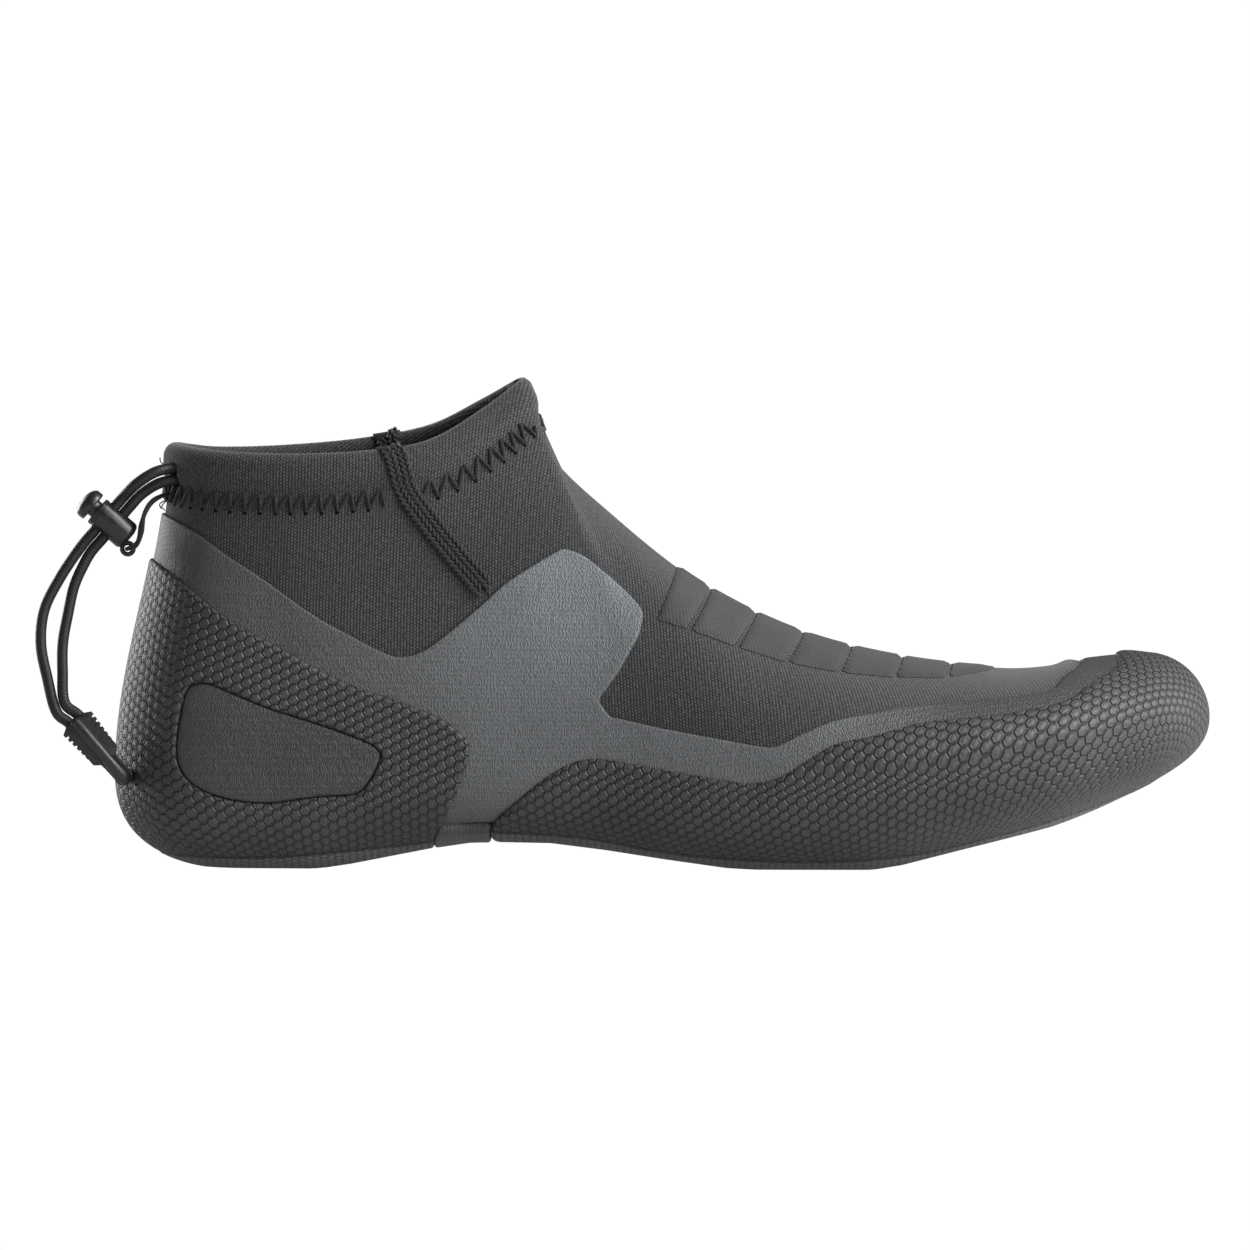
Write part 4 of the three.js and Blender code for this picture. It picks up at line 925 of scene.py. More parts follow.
seam_line = soften(SEAM)
seam_gap = TAPE_W / 2 - nearest_on_line(side_view, seam_line)
tapes = {}
for name, hand in (("tape_lateral", -1), ("tape_medial", 1)):
    base = some_faces((net[2] == hand) & (net[0][net[1], C] < 60).any(axis=1))
    mesh = region(least(seam_gap, -overlay_in - 0.05, (net[0][:, Z] - 50)), (0.35, 0.8), base)
    mesh = cut(mesh, C, -0.6)
    for depth in (-0.5, -0.3, 0.1, 0.6, 1.3, 2.2, 3.3):
        mesh = cut(mesh, C, depth, both=True)
    out, inn = tape_offsets(mesh[0])
    thin = 0.3 * (1 - round_edge(mesh[0][:, 9], 0.8, 0.0))
    mid = (out + inn) / 2
    tapes[name] = layer(name, mesh, np.maximum(out - thin, mid), np.minimum(inn + thin, mid),
                        boot_uv)

# %% [markdown]
# The overlay is a thin printed film on the sides, cut round the rubber and swept up in front
# of the seam. The pads over the instep are moulded foam, soft at every edge.

# %% Overlay
OVERLAY_T = 0.6
UNDER_LIP = 0.5
overlay_all = least(overlay_in, -heel_in + UNDER_LIP, -fore_in + UNDER_LIP,
                    (net[0][:, T] - 0.5) * 40)
overlays = {}
for name, hand in (("overlay_outer_side", -1), ("overlay_inner_side", 1)):
    mesh = region(overlay_all, (0.15, 0.5), some_faces(net[2] == hand))
    d = mesh[0][:, 9]
    overlays[name] = layer(name, mesh, LAYER_GAP + OVERLAY_T * round_edge(d, 0.5, 0.3),
                           np.full(len(d), 0.05), boot_uv, attributes={"edge_mm": d})

# %% Instep pads
PAD_T = 1.3
PAD_GROOVE = 0.7
pads = []
for k in range(len(PAD_LINES) - 1):
    (a1, a0), (b1, b0) = PAD_LINES[k], PAD_LINES[k + 1]
    corners = np.array([a0, b0, b1, a1], float)
    quad = inside_distance(side_view, corners)
    mesh = region(least(quad - PAD_GROOVE / 2, net[0][:, T] - 1.1), (0.25, 0.7, 1.3, 2.1, 3.1))
    d = mesh[0][:, 9]
    height = PAD_T * ease(-0.3, 2.3, d) - 0.12
    pads.append(layer(f"pad_{k + 1}", mesh, LAYER_GAP + height, np.full(len(d), 0.05), boot_uv,
                      attributes={"edge_mm": d}))

# %% [markdown]
# The heel cup and the forefoot cup are moulded rubber, thicker under the foot than up the
# walls. A smooth inlay sits in a window on each side of the heel, and a plain bridge joins
# the two cups under the arch.

# %% Rubber cups
SIDE_RUBBER_T = 1.6


def rubber_thickness(v):
    """Full thickness under the foot, the side's thickness from 20 mm above it."""
    low = 1 - ease(6, 20, v[:, Z] - under(v[:, X]))
    return SIDE_RUBBER_T + (OUTSOLE_T - SIDE_RUBBER_T) * low


def rubber(name, field, edge_radius, start, uv):
    """A cup of rubber with its upper edge rounded, and a shallow line where the mould parts."""
    mesh = region(field, (edge_radius * 0.15, edge_radius * 0.5, edge_radius), None, parting_in,
                  window_in)
    for ledge in (0.25, -0.15):
        mesh = cut(mesh, 10, ledge, both=True)
    v = mesh[0]
    proud = 0.2 * (1 - ease(-0.15, 0.25, v[:, 10]))
    outer = LAYER_GAP + (rubber_thickness(v) + proud) * round_edge(v[:, 9], edge_radius, start)
    return layer(name, mesh, outer, np.full(len(v), LAYER_GAP), uv,
                 attributes={"edge_mm": v[:, 9], "parting_mm": v[:, 10], "window_mm": v[:, 11]})


def toe_uv(u, t, side):
    """The flattened place, drawn finer towards the toe's tip, as the mould's pattern is."""
    tip = boot_uv(np.array([16.0]), np.array([1.3]), np.array([-1.0]))
    gap = boot_uv(u, t, side) - tip
    away = np.linalg.norm(gap, axis=1, keepdims=True)
    return tip + gap * (1 + 0.5 * np.exp(-(away / 42) ** 2))


heel_cup = rubber("heel_cup", least(heel_in, -window_in), 0.9, 0.45, heel_uv)
forefoot_cup = rubber("forefoot_cup", fore_in, 2.2, 0.4, toe_uv)

# %% Heel inlays and arch bridge
HEEL_PAD_T = 1.25
inlays = {}
for name, hand in (("inlay_lateral", -1), ("inlay_medial", 1)):
    mesh = region(window_in + UNDER_LIP, (0.2, 0.5, 0.8, 1.3), some_faces(net[2] == hand))
    d = mesh[0][:, 9]
    inlays[name] = layer(name, mesh, LAYER_GAP + HEEL_PAD_T * round_edge(d - UNDER_LIP, 0.8, 0.2),
                         np.full(len(d), LAYER_GAP), boot_uv, attributes={"edge_mm": d})
strap = np.array([(76, -8), (102, -8), (102, 13.0), (76, 12.4)], float)
bridge_in = least(inside_distance(side_view, strap), -heel_in + 0.2, -fore_in - 0.05)
mesh = region(bridge_in, (0.3, 0.9))
bridge = layer("bridge", mesh, LAYER_GAP + (OUTSOLE_T + 0.3) * round_edge(mesh[0][:, 9], 0.9, 0.45),
               np.full(len(mesh[0]), LAYER_GAP), boot_uv, attributes={"edge_mm": mesh[0][:, 9]})

# %% Footbed
FOOTBED_T = 3.0
mesh = region((0.62 - net[0][:, T]) * 40, (0.5, 1.5))
v = mesh[0]
bed_low = unit(v[:, NX:NZ + 1]) * -(NEOPRENE_T + LAYER_GAP)
bed_high = bed_low + np.stack([0 * v[:, X], 0 * v[:, X],
                               FOOTBED_T * round_edge(v[:, 9], 1.5, 0.4)], axis=1)
bed = layer("insole", mesh, np.full(len(v), -NEOPRENE_T - LAYER_GAP), np.zeros(len(v)),
            boot_uv, lift=bed_high)
print("soft parts done")

# %% [markdown]
# Small hardware is turned or stamped. Turned pieces are a profile spun round an axis, flat
# ones an outline given a thickness. Holes are cut afterwards with a boolean, and a bevel
# breaks every edge the way a mould does.

# %% Turned and stamped pieces


def turned(profile, sides):
    """Points (r cos a, r sin a, z) of a profile of (r, z) whose ends lie on the axis."""
    profile = np.asarray(profile, float)
    a = np.arange(sides) / sides * TAU
    ring = profile[1:-1]
    points = np.stack([ring[:, :1] * np.cos(a), ring[:, :1] * np.sin(a),
                       np.repeat(ring[:, 1:], sides, axis=1)], axis=-1).reshape(-1, 3)
    points = np.vstack([points, [0, 0, profile[0, 1]], [0, 0, profile[-1, 1]]])
    m = len(ring)
    return points, np.concatenate([grid_faces(m, sides, wrap=True), end_fans(m, sides)])


def prism(outline, low, high):
    """A closed outline of (x, y) between two heights, as one cap polygon each and side quads;
    returns points and a list of faces."""
    outline = np.asarray(outline, float)
    n = len(outline)
    points = np.vstack([np.column_stack([outline, np.full(n, z)]) for z in (low, high)])
    j = np.arange(n)
    k = (j + 1) % n
    sides = np.stack([j, k, n + k, n + j], axis=1).tolist()
    return points, [j[::-1].tolist(), (n + j).tolist(), *sides]


def torus(big, small, centre, sides=28, around=12):
    """A ring in the x-z plane round "centre": radius big, wire radius small."""
    a = np.arange(sides)[:, None] / sides * TAU
    b = np.arange(around)[None] / around * TAU
    r = big + small * np.cos(b)
    points = np.stack([r * np.cos(a), small * np.sin(b) + 0 * a, r * np.sin(a)], axis=-1)
    i, j = np.meshgrid(np.arange(sides), np.arange(around), indexing="ij")
    ii, jj = (i + 1) % sides, (j + 1) % around
    quads = np.stack([i * around + j, i * around + jj, ii * around + jj, ii * around + j],
                     axis=-1).reshape(-1, 4)
    return points.reshape(-1, 3) + centre, quads


def plain_object(name, points, faces):
    """A mesh from lists, in millimetres from the heel."""
    mesh = bpy.data.meshes.new(name)
    mesh.from_pydata(to_frame(points).tolist(), [], [[i for i in f if i >= 0] for f in faces])
    mesh.update()
    o = bpy.data.objects.new(name, mesh)
    bpy.context.scene.collection.objects.link(o)
    return o


def carve(o, *cutters, operation="DIFFERENCE"):
    """Cuts the cutters out of o, or joins them to it, and removes them."""
    for c in cutters:
        m = o.modifiers.new("carve", "BOOLEAN")
        m.operation = operation
        m.solver = "EXACT"
        m.object = c
        bake_modifiers(o)
        bpy.data.objects.remove(c)
    return o


def bake_modifiers(o):
    """The evaluated mesh replaces the mesh, and the modifiers go."""
    bpy.context.view_layer.update()
    graph = bpy.context.evaluated_depsgraph_get()
    mesh = bpy.data.meshes.new_from_object(o.evaluated_get(graph))
    o.modifiers.clear()
    o.data = mesh


def finish_hard(o, width, segments=3):
    """Breaks the edges with a bevel and shades the faces smooth between sharp edges."""
    m = o.modifiers.new("bevel", "BEVEL")
    m.width = width * MM
    m.segments = segments
    m.limit_method = "ANGLE"
    m.angle_limit = math.radians(40)
    m.harden_normals = False
    bake_modifiers(o)
    o.data.polygons.foreach_set("use_smooth", np.ones(len(o.data.polygons), bool))
    o.data.set_sharp_from_angle(angle=math.radians(38))
    print(f"{o.name}: {len(o.data.polygons)} faces")
    return o


# %% Cord lock
LOCK_R = 3.8
LOCK_LENGTH = 11.0
BORE_R = LOCK_R - 0.85
BORE_DEPTH = LOCK_LENGTH - 0.7
HOLE_TOP = NEAR_CORD - CORD_D / 2 - 0.15
HOLE_END = FAR_CORD + CORD_D / 2 + 0.15
SLOT_REACH = 9.0
BUTTON_TRAVEL = 1.0
SLIDE_GAP = 0.2


def capsule_outline(z0, z1, half, steps=10):
    """A slot in the (y, z) plane: straight sides and half-round ends."""
    a = np.linspace(0, math.pi, steps + 1)
    top = np.column_stack([half * np.cos(a), z1 - half + half * np.sin(a)])
    low = np.column_stack([-half * np.cos(a), z0 + half - half * np.sin(a)])
    return np.vstack([top, low])


def cord_slot(z0, z1, half):
    """A cutter along the cord's direction for the two strands."""
    p, f = prism(capsule_outline(z0, z1, half), -SLOT_REACH, SLOT_REACH)
    p = np.column_stack([p[:, 2], p[:, 0], p[:, 1]])
    return plain_object("slot_cutter", in_lock(p), f)


barrel_profile = [(0, 0), (LOCK_R - 0.35, 0), (LOCK_R - 0.1, 0.1), (LOCK_R, 0.35), (LOCK_R, 1.0),
                  (LOCK_R - 0.12, 1.12), (LOCK_R - 0.12, 1.3), (LOCK_R, 1.42),
                  (LOCK_R, LOCK_LENGTH - 1.4), (LOCK_R - 0.2, LOCK_LENGTH - 0.8),
                  (LOCK_R - 0.7, LOCK_LENGTH - 0.35), (LOCK_R - 1.9, LOCK_LENGTH),
                  (0, LOCK_LENGTH)]
p, f = turned(barrel_profile, 64)
lock = plain_object("lock_body", in_lock(p), f)
p, f = turned([(0, -1), (BORE_R, -1), (BORE_R, BORE_DEPTH), (0, BORE_DEPTH)], 64)
bore = plain_object("bore_cutter", in_lock(p), f)
p, f = torus(1.45, 0.6, (2.3, 0, EYE_Z))
eye = plain_object("eye_ring", in_lock(p), f)
carve(lock, bore, cord_slot(HOLE_TOP, HOLE_END, CORD_D / 2 + 0.15))
carve(lock, eye, operation="UNION")
finish_hard(lock, 0.12, 2)

# %% Push button of the lock
HEAD_LOW = -BUTTON_TRAVEL - SLIDE_GAP
BUTTON_R = 4.0
BUTTON_H = 2.6
STEM_R = BORE_R - SLIDE_GAP
CROSSBAR = HOLE_END + 0.7
button_profile = [(0, HEAD_LOW - BUTTON_H - 0.9), (1.5, HEAD_LOW - BUTTON_H - 0.78),
                  (2.6, HEAD_LOW - BUTTON_H - 0.45), (3.3, HEAD_LOW - BUTTON_H - 0.05),
                  (3.75, HEAD_LOW - BUTTON_H + 0.4),
                  (BUTTON_R, HEAD_LOW - BUTTON_H + 0.9), (BUTTON_R, HEAD_LOW - 0.35),
                  (BUTTON_R - 0.1, HEAD_LOW - 0.1), (BUTTON_R - 0.35, HEAD_LOW),
                  (STEM_R - 0.5, HEAD_LOW), (STEM_R - 0.5, 0.1), (STEM_R, 0.1),
                  (STEM_R, CROSSBAR), (0, CROSSBAR)]
p, f = turned(button_profile, 64)
button = plain_object("lock_button_piece", in_lock(p), f)
carve(button, cord_slot(HOLE_TOP - BUTTON_TRAVEL, HOLE_END, CORD_D / 2 + 0.15))
finish_hard(button, 0.1, 2)

# %% Spring of the lock
WIRE_R = 0.2
turns = np.linspace(0, 1, 121)[:, None]
coil = np.hstack([2.1 * np.cos(TAU * 3 * turns), 2.1 * np.sin(TAU * 3 * turns),
                  CROSSBAR + 0.3 + (BORE_DEPTH - CROSSBAR - 0.6) * turns])
spring = make_object("spring", *tube(in_lock(coil), WIRE_R, 8))

# %% [markdown]
# The clip that ends the cord is moulded round it: two ribbed grips over a flat web whose eye
# turns on a stud of the heel rubber. A round hook runs over the outer grip and down to the eye.

# %% Cord clip
CLIP_DEPTH = np.cross(CLIP_DIR, CLIP_ACROSS)
COVER_IN = CORD_D / 2 + LAYER_GAP
COVER_T = 1.2
WEB_T = 2.6


def clip_plate(name, outline, low, high):
    """A flat piece drawn in the clip's plane, along and across it."""
    p, f = prism(outline, low, high)
    base = PIVOT - CLIP_DIR * CLIP_LENGTH
    return plain_object(name, base + p[:, :1] * CLIP_DIR + p[:, 1:2] * CLIP_ACROSS
                        + p[:, 2:] * CLIP_DEPTH, f)


def arc(centre, radius, a0, a1, steps):
    """Points of a circle's arc."""
    a = np.linspace(a0, a1, steps)
    return np.column_stack([centre[0] + radius * np.cos(a), centre[1] + radius * np.sin(a)])


web_outline = np.vstack([[(3.9, -2.4), (12.4, -2.4), (14.0, -2.25)],
                         arc((CLIP_LENGTH, 0), 2.35, -math.pi * 0.62, math.pi * 0.62, 24),
                         [(14.0, 2.25), (12.4, 2.4), (3.9, 2.4)]])
web = clip_plate("clip_web", web_outline, -WEB_T / 2, WEB_T / 2)
hole = clip_plate("hole_cutter", arc((CLIP_LENGTH, 0), 1.15, 0, TAU * 31 / 32, 32), -4, 4)
carve(web, hole)
finish_hard(web, 0.3, 3)
RIBS = 7
rib_side = np.array([(-0.6, 2.6)] + [(0.5 + i * 1.55 + dx, y) for i in range(RIBS)
                                     for dx, y in ((0, 4.5 - 0.12 * i), (0.95, 4.5 - 0.12 * i),
                                                   (1.0, 3.75), (1.5, 3.75))]
                    + [(12.4, 2.4), (13.4, 0)])
grip_outline = np.vstack([rib_side * (1, -1), rib_side[:-1][::-1]])
# Each entry is the place along the clip, the depth towards the boot and the bar's radius.
HOOK = [(0.2, -2.9, 1.4), (4, -3.3, 1.55), (9, -3.4, 1.6), (13, -3.3, 1.6), (16, -2.9, 1.75),
        (18, -2.1, 1.9), (18.8, -1.5, 1.8)]
hook = centripetal(np.array(HOOK), 60)
hook_path = in_clip(hook[:, :1], np.zeros((len(hook), 1))) + CLIP_DEPTH * hook[:, 1:2]
grips = {}
for name, low in (("grip_lateral", -COVER_IN - COVER_T), ("grip_medial", COVER_IN)):
    grips[name] = clip_plate(name, grip_outline, low, low + COVER_T)
p, f, _ = tube(hook_path, hook[:, 2], 24)
carve(grips["grip_lateral"], plain_object("clip_hook", p, f), operation="UNION")
for o in grips.values():
    finish_hard(o, 0.15, 2)

# %% Stud of the heel rubber
stud_tip = PIVOT[1] - WEB_T / 2
stud_profile = [(0, 1.0), (0.8, 1.0), (0.95, 1.1), (1.0, 1.3), (1.0, 4.4), (1.25, 4.9),
                (1.8, 5.6), (2.2, 7.0), (0, 7.0)]
p, f = turned(stud_profile, 32)
stud = finish_hard(plain_object("heel_stud", np.column_stack(
    [PIVOT[0] + p[:, 0], stud_tip + p[:, 2], PIVOT[2] - p[:, 1]]), f), 0.06, 2)

# %% [markdown]
# The stitching is real thread. The hem is held by a zigzag that goes through all layers at
# each turn, and the tape by four rows of short slanted stitches. Points for the thread are
# found by taking the nearest corner of the net and sliding in its tangent plane.

# %% Places on the surface
collar_band = (net[0][:, C] < 50) & (net[0][:, Z] > 60)
band = net[0][collar_band]


def on_surface(targets):
    """The net's own place, normal and collar distance nearest to each target."""
    best = np.empty(len(targets), int)
    for start in range(0, len(targets), 200):
        d = ((targets[start:start + 200, None] - band[None, :, X:Z + 1]) ** 2).sum(-1)
        best[start:start + 200] = d.argmin(axis=1)
    v = band[best]
    n = unit(v[:, NX:NZ + 1])
    gap = ((targets - v[:, X:Z + 1]) * n).sum(-1, keepdims=True)
    return targets - n * gap, n, v[:, C]


def down_from_collar(f):
    """At fractions f of the way round: the collar's point, and the direction down the surface
    square to its edge, which turns into the ridge's own direction at the throat."""
    e = 1e-4
    p = catmull(COLLAR, f % 1, True)
    along = unit(catmull(COLLAR, (f + e) % 1, True) - catmull(COLLAR, (f - e) % 1, True))
    f = f % 1
    u = np.where(f <= 0.5, f, 1 - f) * 2 * THROAT
    s = np.where(f <= 0.5, -u, u)
    pull = unit(catmull(PULL, (-s / (2 * STATIONS)) % 1, True))
    ridge = unit(catmull(RIDGE, np.array([0.035])) - catmull(RIDGE, np.array([0.025])))
    w = ease(5.6, 7, u)[:, None]
    down = pull * (1 - w) + ridge * w
    down = down - along * (down * along).sum(-1, keepdims=True)
    return p, unit(down)


def threads(name, paths, radius, sides=6):
    """Many short or long threads as one mesh."""
    points, faces, uvs, count = [], [], [], 0
    for path in paths:
        p, f, uv = tube(path, radius, sides)
        points.append(p)
        faces.append(np.where(f >= 0, f + count, -1))
        uvs.append(uv)
        count += len(p)
    return make_object(name, np.vstack(points), np.vstack(faces), np.vstack(uvs))


# %% Zigzag of the hem
ZIG_PITCH = 3.6
ZIG_TOP = 10.4
ZIG_LOW = 15.0
THREAD_R = 0.5
collar_closed = np.vstack([collar_line, collar_line[:1]])
collar_run = np.concatenate([[0], np.cumsum(np.linalg.norm(np.diff(collar_closed, axis=0), axis=1))])
collar_length = collar_run[-1]
collar_f = np.linspace(0, 1, len(collar_closed))


def hem_places(run, depth):
    """Places "depth" mm below the collar at "run" mm round it, on the outside of hem and
    panel, with their normals."""
    p, down = down_from_collar(np.interp(run % collar_length, collar_run, collar_f))
    place, normal, c = on_surface(p + down * depth[:, None])
    hem_out = MID + hem_half(np.minimum(c, HEM_HEIGHT))
    return place + normal * (hem_out * (1 - ease(12.6, 14.2, c)))[:, None], normal


def zigzag(start, stop):
    """A thread between ZIG_TOP and ZIG_LOW from start to stop mm round the collar: leaning
    slants, rounded and sunk into the foam where the needle goes in."""
    n = int(round(abs(stop - start) / ZIG_PITCH)) * 2
    k = np.arange(n * 8 + 1) / 8
    tri = 1 - 2 * abs((k % 2) - 1)
    sway = np.clip(tri * 1.12, -1, 1)
    run = start + (stop - start) * (k + 0.35 * tri) / n
    depth = (ZIG_TOP + ZIG_LOW) / 2 - sway * (ZIG_LOW - ZIG_TOP) / 2
    place, normal = hem_places(run, depth)
    sink = 0.9 * ease(0.8, 1.0, abs(tri))
    return place + normal * (0.3 - sink)[:, None]


def holes(start, stop):
    """Where the needle went in at the lower turns: a point, a normal and the way round the
    collar for each dimple."""
    n = int(round(abs(stop - start) / ZIG_PITCH)) * 2
    k = np.arange(0, n, 2)
    run = start + (stop - start) * (k - 0.35) / n
    place, normal = hem_places(run, np.full(len(k), ZIG_LOW - 0.1))
    along, _ = hem_places(run + 1.0, np.full(len(k), ZIG_LOW - 0.1))
    return place, normal, unit(along - place)


def dimples(name, spots):
    """Lens shapes about 2 x 1.3 mm, leaning, lying in the surface; they carry the painted
    shade of the needle holes.
    """
    j = np.arange(12)
    k = (j + 1) % 12
    a = j / 12 * TAU
    points, faces = [], []
    for place, normal, along in zip(*spots):
        down = np.cross(normal, along)
        lean = unit(down + along * 0.45)
        disc = place + np.cos(a)[:, None] * along * 0.65 + np.sin(a)[:, None] * lean * 1.15
        top, low = place + normal * 0.16, place - normal * 0.3
        base = len(points) * 14
        points.append(np.vstack([disc, top, low]))
        faces += np.stack([base + j, base + k, np.full(12, base + 12)], 1).tolist()
        faces += np.stack([base + k, base + j, np.full(12, base + 13)], 1).tolist()
    points, faces = np.vstack(points), np.array(faces)
    a, b, c = (points[faces[0, i]] for i in range(3))
    if np.cross(b - a, c - a) @ spots[1][0] < 0:
        faces = faces[:, ::-1]
    full = np.column_stack([faces, np.full(len(faces), -1)])
    return make_object(name, points, full, points[faces.ravel()][:, :2])


REAR_STOP = np.interp(0.31, collar_f, collar_run)
FRONT_START = np.interp(0.338, collar_f, collar_run)
REAR_START = 7.5
zig_rear = threads("zigzag_rear", [zigzag(REAR_START, REAR_STOP),
                                   zigzag(collar_length - 4, collar_length - REAR_STOP)], THREAD_R)
zig_front = threads("zigzag_front", [zigzag(FRONT_START, collar_length - FRONT_START)], THREAD_R)
spots = [np.vstack(each) for each in zip(holes(REAR_START, REAR_STOP),
                                           holes(collar_length - 4, collar_length - REAR_STOP),
                                           holes(FRONT_START, collar_length - FRONT_START))]
# Black lenses at the needle holes: painted shade where the thread goes into the foam.
needle_holes = dimples("needle_holes", spots)

# %% Bar tack under the eyelet
TACK_THREADS = 17
TACK_PITCH = 0.44
TACK_TOP = 9.6
TACK_HEIGHT = 5.6
tack_paths = []
for k in range(TACK_THREADS):
    run = 0.4 + TACK_PITCH * k + np.linspace(-0.25, 0.25, 9) * (-1) ** k
    w = np.linspace(0, 1, 9)
    place, normal = hem_places(run, TACK_TOP + TACK_HEIGHT * w)
    tack_paths.append(place + normal * (0.75 - 1.3 * abs(2 * w - 1) ** 6)[:, None])
bar_tack = threads("bar_tack", tack_paths, 0.46)

# %% Stitch rows of the tape
LANES = ((-2.15, 0.5), (-0.72, -0.5), (0.72, 0.5), (2.15, -0.5))
STITCH_PITCH = 1.5
STITCH_HALF = 0.85
INSIDE_RUN = 10.0
TAPE_FOOT = 71.5


def tape_rows(hand):
    """Rows of slanted stitches down the tape: from INSIDE_RUN below the collar's top inside,
    over it and down to the height TAPE_FOOT. LANES gives each row's place across the tape and
    its slant. Each stitch is a short thread arched over the tape."""
    line = centripetal(np.array([(x, 0, z) for x, z in SEAM[:8]]), 400)[:, [0, 2]]
    hand_band = band[(band[:, Y] * hand > 3)]
    d = ((line[:, None] - hand_band[None, :, [X, Z]]) ** 2).sum(-1)
    c_line = hand_band[d.argmin(axis=1), C]
    top = int(np.argmin(abs(line[:, 1] - hand_band[d.argmin(axis=1), Z]) + 5 * abs(c_line)))
    line = line[top:]
    run = np.concatenate([[0], np.cumsum(np.linalg.norm(np.diff(line, axis=0), axis=1))])
    tangent = unit(np.gradient(line, axis=0))
    stop = np.interp(TAPE_FOOT, line[::-1, 1], run[::-1])
    paths = []
    for lane, slant in LANES:
        shift = STITCH_PITCH / 2 if slant > 0 else 0
        for w in np.arange(-INSIDE_RUN, stop, STITCH_PITCH) + shift:
            k = np.linspace(-1, 1, 7)
            along = w + k * STITCH_HALF
            across = lane + slant * k
            centre, t = (np.stack([np.interp(abs(along), run, line_or_t[:, i]) for i in (0, 1)],
                                  axis=1) for line_or_t in (line, tangent))
            flat = centre + across[:, None] * np.stack([-t[:, 1], t[:, 0]], axis=1)
            best = ((flat[:, None] - hand_band[None, :, [X, Z]]) ** 2).sum(-1).argmin(axis=1)
            v = hand_band[best]
            n = unit(v[:, NX:NZ + 1])
            y = v[:, Y] - ((flat - v[:, [X, Z]]) * n[:, [0, 2]]).sum(-1) / n[:, 1]
            out, inn = tape_offsets(v)
            arch = 0.16 - 0.4 * k**4
            blend = ease(-0.8, 0.8, along)
            side_offset = (out + arch) * blend + (inn - arch) * (1 - blend)
            place = np.stack([flat[:, 0], y, flat[:, 1]], axis=1) + n * side_offset[:, None]
            place[:, 2] += 0.5 * (1 - abs(2 * blend - 1))
            paths.append(place)
    return paths


tape_threads = {}
for name, hand in (("stitches_lateral", -1), ("stitches_medial", 1)):
    tape_threads[name] = threads(name, tape_rows(hand), 0.42, 6)

# %% Thread ends at the eyelet
loose_ends = [centripetal(np.array(route), 14) for route in (
    [(14.8, -13.6, 101.6), (13.6, -14.9, 102.4), (12.4, -15.6, 103.4), (12.2, -15.9, 104.4)],
    [(14.9, -13.3, 94.2), (13.4, -14.0, 93.2), (12.6, -14.6, 92.0), (13.3, -14.9, 91.2)],
    [(14.4, -13.0, 93.6), (13.0, -13.4, 93.4), (12.0, -13.9, 92.6), (12.4, -14.1, 91.6)])]
ends = threads("thread_ends", loose_ends, 0.16, 6)

# %% [markdown]
# Finishes are built from nodes. Effects that several materials share are node groups whose
# inputs are a place in millimetres and a pitch, and whose outputs are a height for the bump
# and a mask for the colour.

# %% Node helpers


def op(tree, kind, *values, **settings):
    """A node with its settings and its inputs in order: sockets are linked, numbers are set,
    and None is left as it is."""
    node = tree.nodes.new(kind)
    for key, value in settings.items():
        setattr(node, key, value)
    for socket, value in zip(node.inputs, values):
        if isinstance(value, bpy.types.NodeSocket):
            tree.links.new(value, socket)
        elif value is not None:
            socket.default_value = value
    return node


def calc(tree, operation, *values):
    """One number from a Math node."""
    return op(tree, "ShaderNodeMath", *values, operation=operation).outputs[0]


def vector(tree, operation, *values):
    """One vector from a Vector Math node."""
    return op(tree, "ShaderNodeVectorMath", *values, operation=operation).outputs[0]


def step(tree, value, low, high, to_low=0.0, to_high=1.0):
    """A smooth step of a number between two bounds."""
    return op(tree, "ShaderNodeMapRange", value, low, high, to_low, to_high,
              interpolation_type="SMOOTHSTEP").outputs[0]


def new_group(name, inputs, outputs):
    """An empty shader group: (tree, its input sockets by name, its output node)."""
    tree = bpy.data.node_groups.new(name, "ShaderNodeTree")
    for label, kind, value in inputs:
        socket = tree.interface.new_socket(label, in_out="INPUT", socket_type=kind)
        if value is not None:
            socket.default_value = value
    for label in outputs:
        tree.interface.new_socket(label, in_out="OUTPUT", socket_type="NodeSocketFloat")
    start = tree.nodes.new("NodeGroupInput")
    return tree, start.outputs, tree.nodes.new("NodeGroupOutput")


def place_group(tree, group_tree, **values):
    """A group node in a material, with named inputs linked or set."""
    node = tree.nodes.new("ShaderNodeGroup")
    node.node_tree = group_tree
    for key, value in values.items():
        if isinstance(value, bpy.types.NodeSocket):
            tree.links.new(value, node.inputs[key])
        else:
            node.inputs[key].default_value = value
    return node.outputs


# %% [markdown]
# Knit: columns of small V stitches. Across a column the height is an arch; along it, slanted
# legs follow each other. A little noise in the yarn gives the heathered look. The colour mask
# also follows the height, so the hollows between stitches carry painted shade.

# %% Knit group
knit, kin, kout = new_group("knit", [("Place", "NodeSocketVector", None),
                                     ("Column", "NodeSocketFloat", 0.95),
                                     ("Course", "NodeSocketFloat", 0.8)], ["Height", "Heather and shade"])
xyz = op(knit, "ShaderNodeSeparateXYZ", kin["Place"]).outputs
across = calc(knit, "DIVIDE", xyz[0], kin["Column"])
along = calc(knit, "DIVIDE", xyz[1], kin["Course"])
off_middle = calc(knit, "ABSOLUTE", calc(knit, "SUBTRACT", calc(knit, "FRACT", across), 0.5))
row_shift = calc(knit, "MULTIPLY", calc(knit, "FLOOR", across), 0.5)
slanted = calc(knit, "MULTIPLY_ADD", off_middle, 0.9, calc(knit, "ADD", along, row_shift))
wave = calc(knit, "SINE", calc(knit, "MULTIPLY", slanted, TAU))
legs = calc(knit, "MULTIPLY_ADD", wave, 0.5, 0.5)
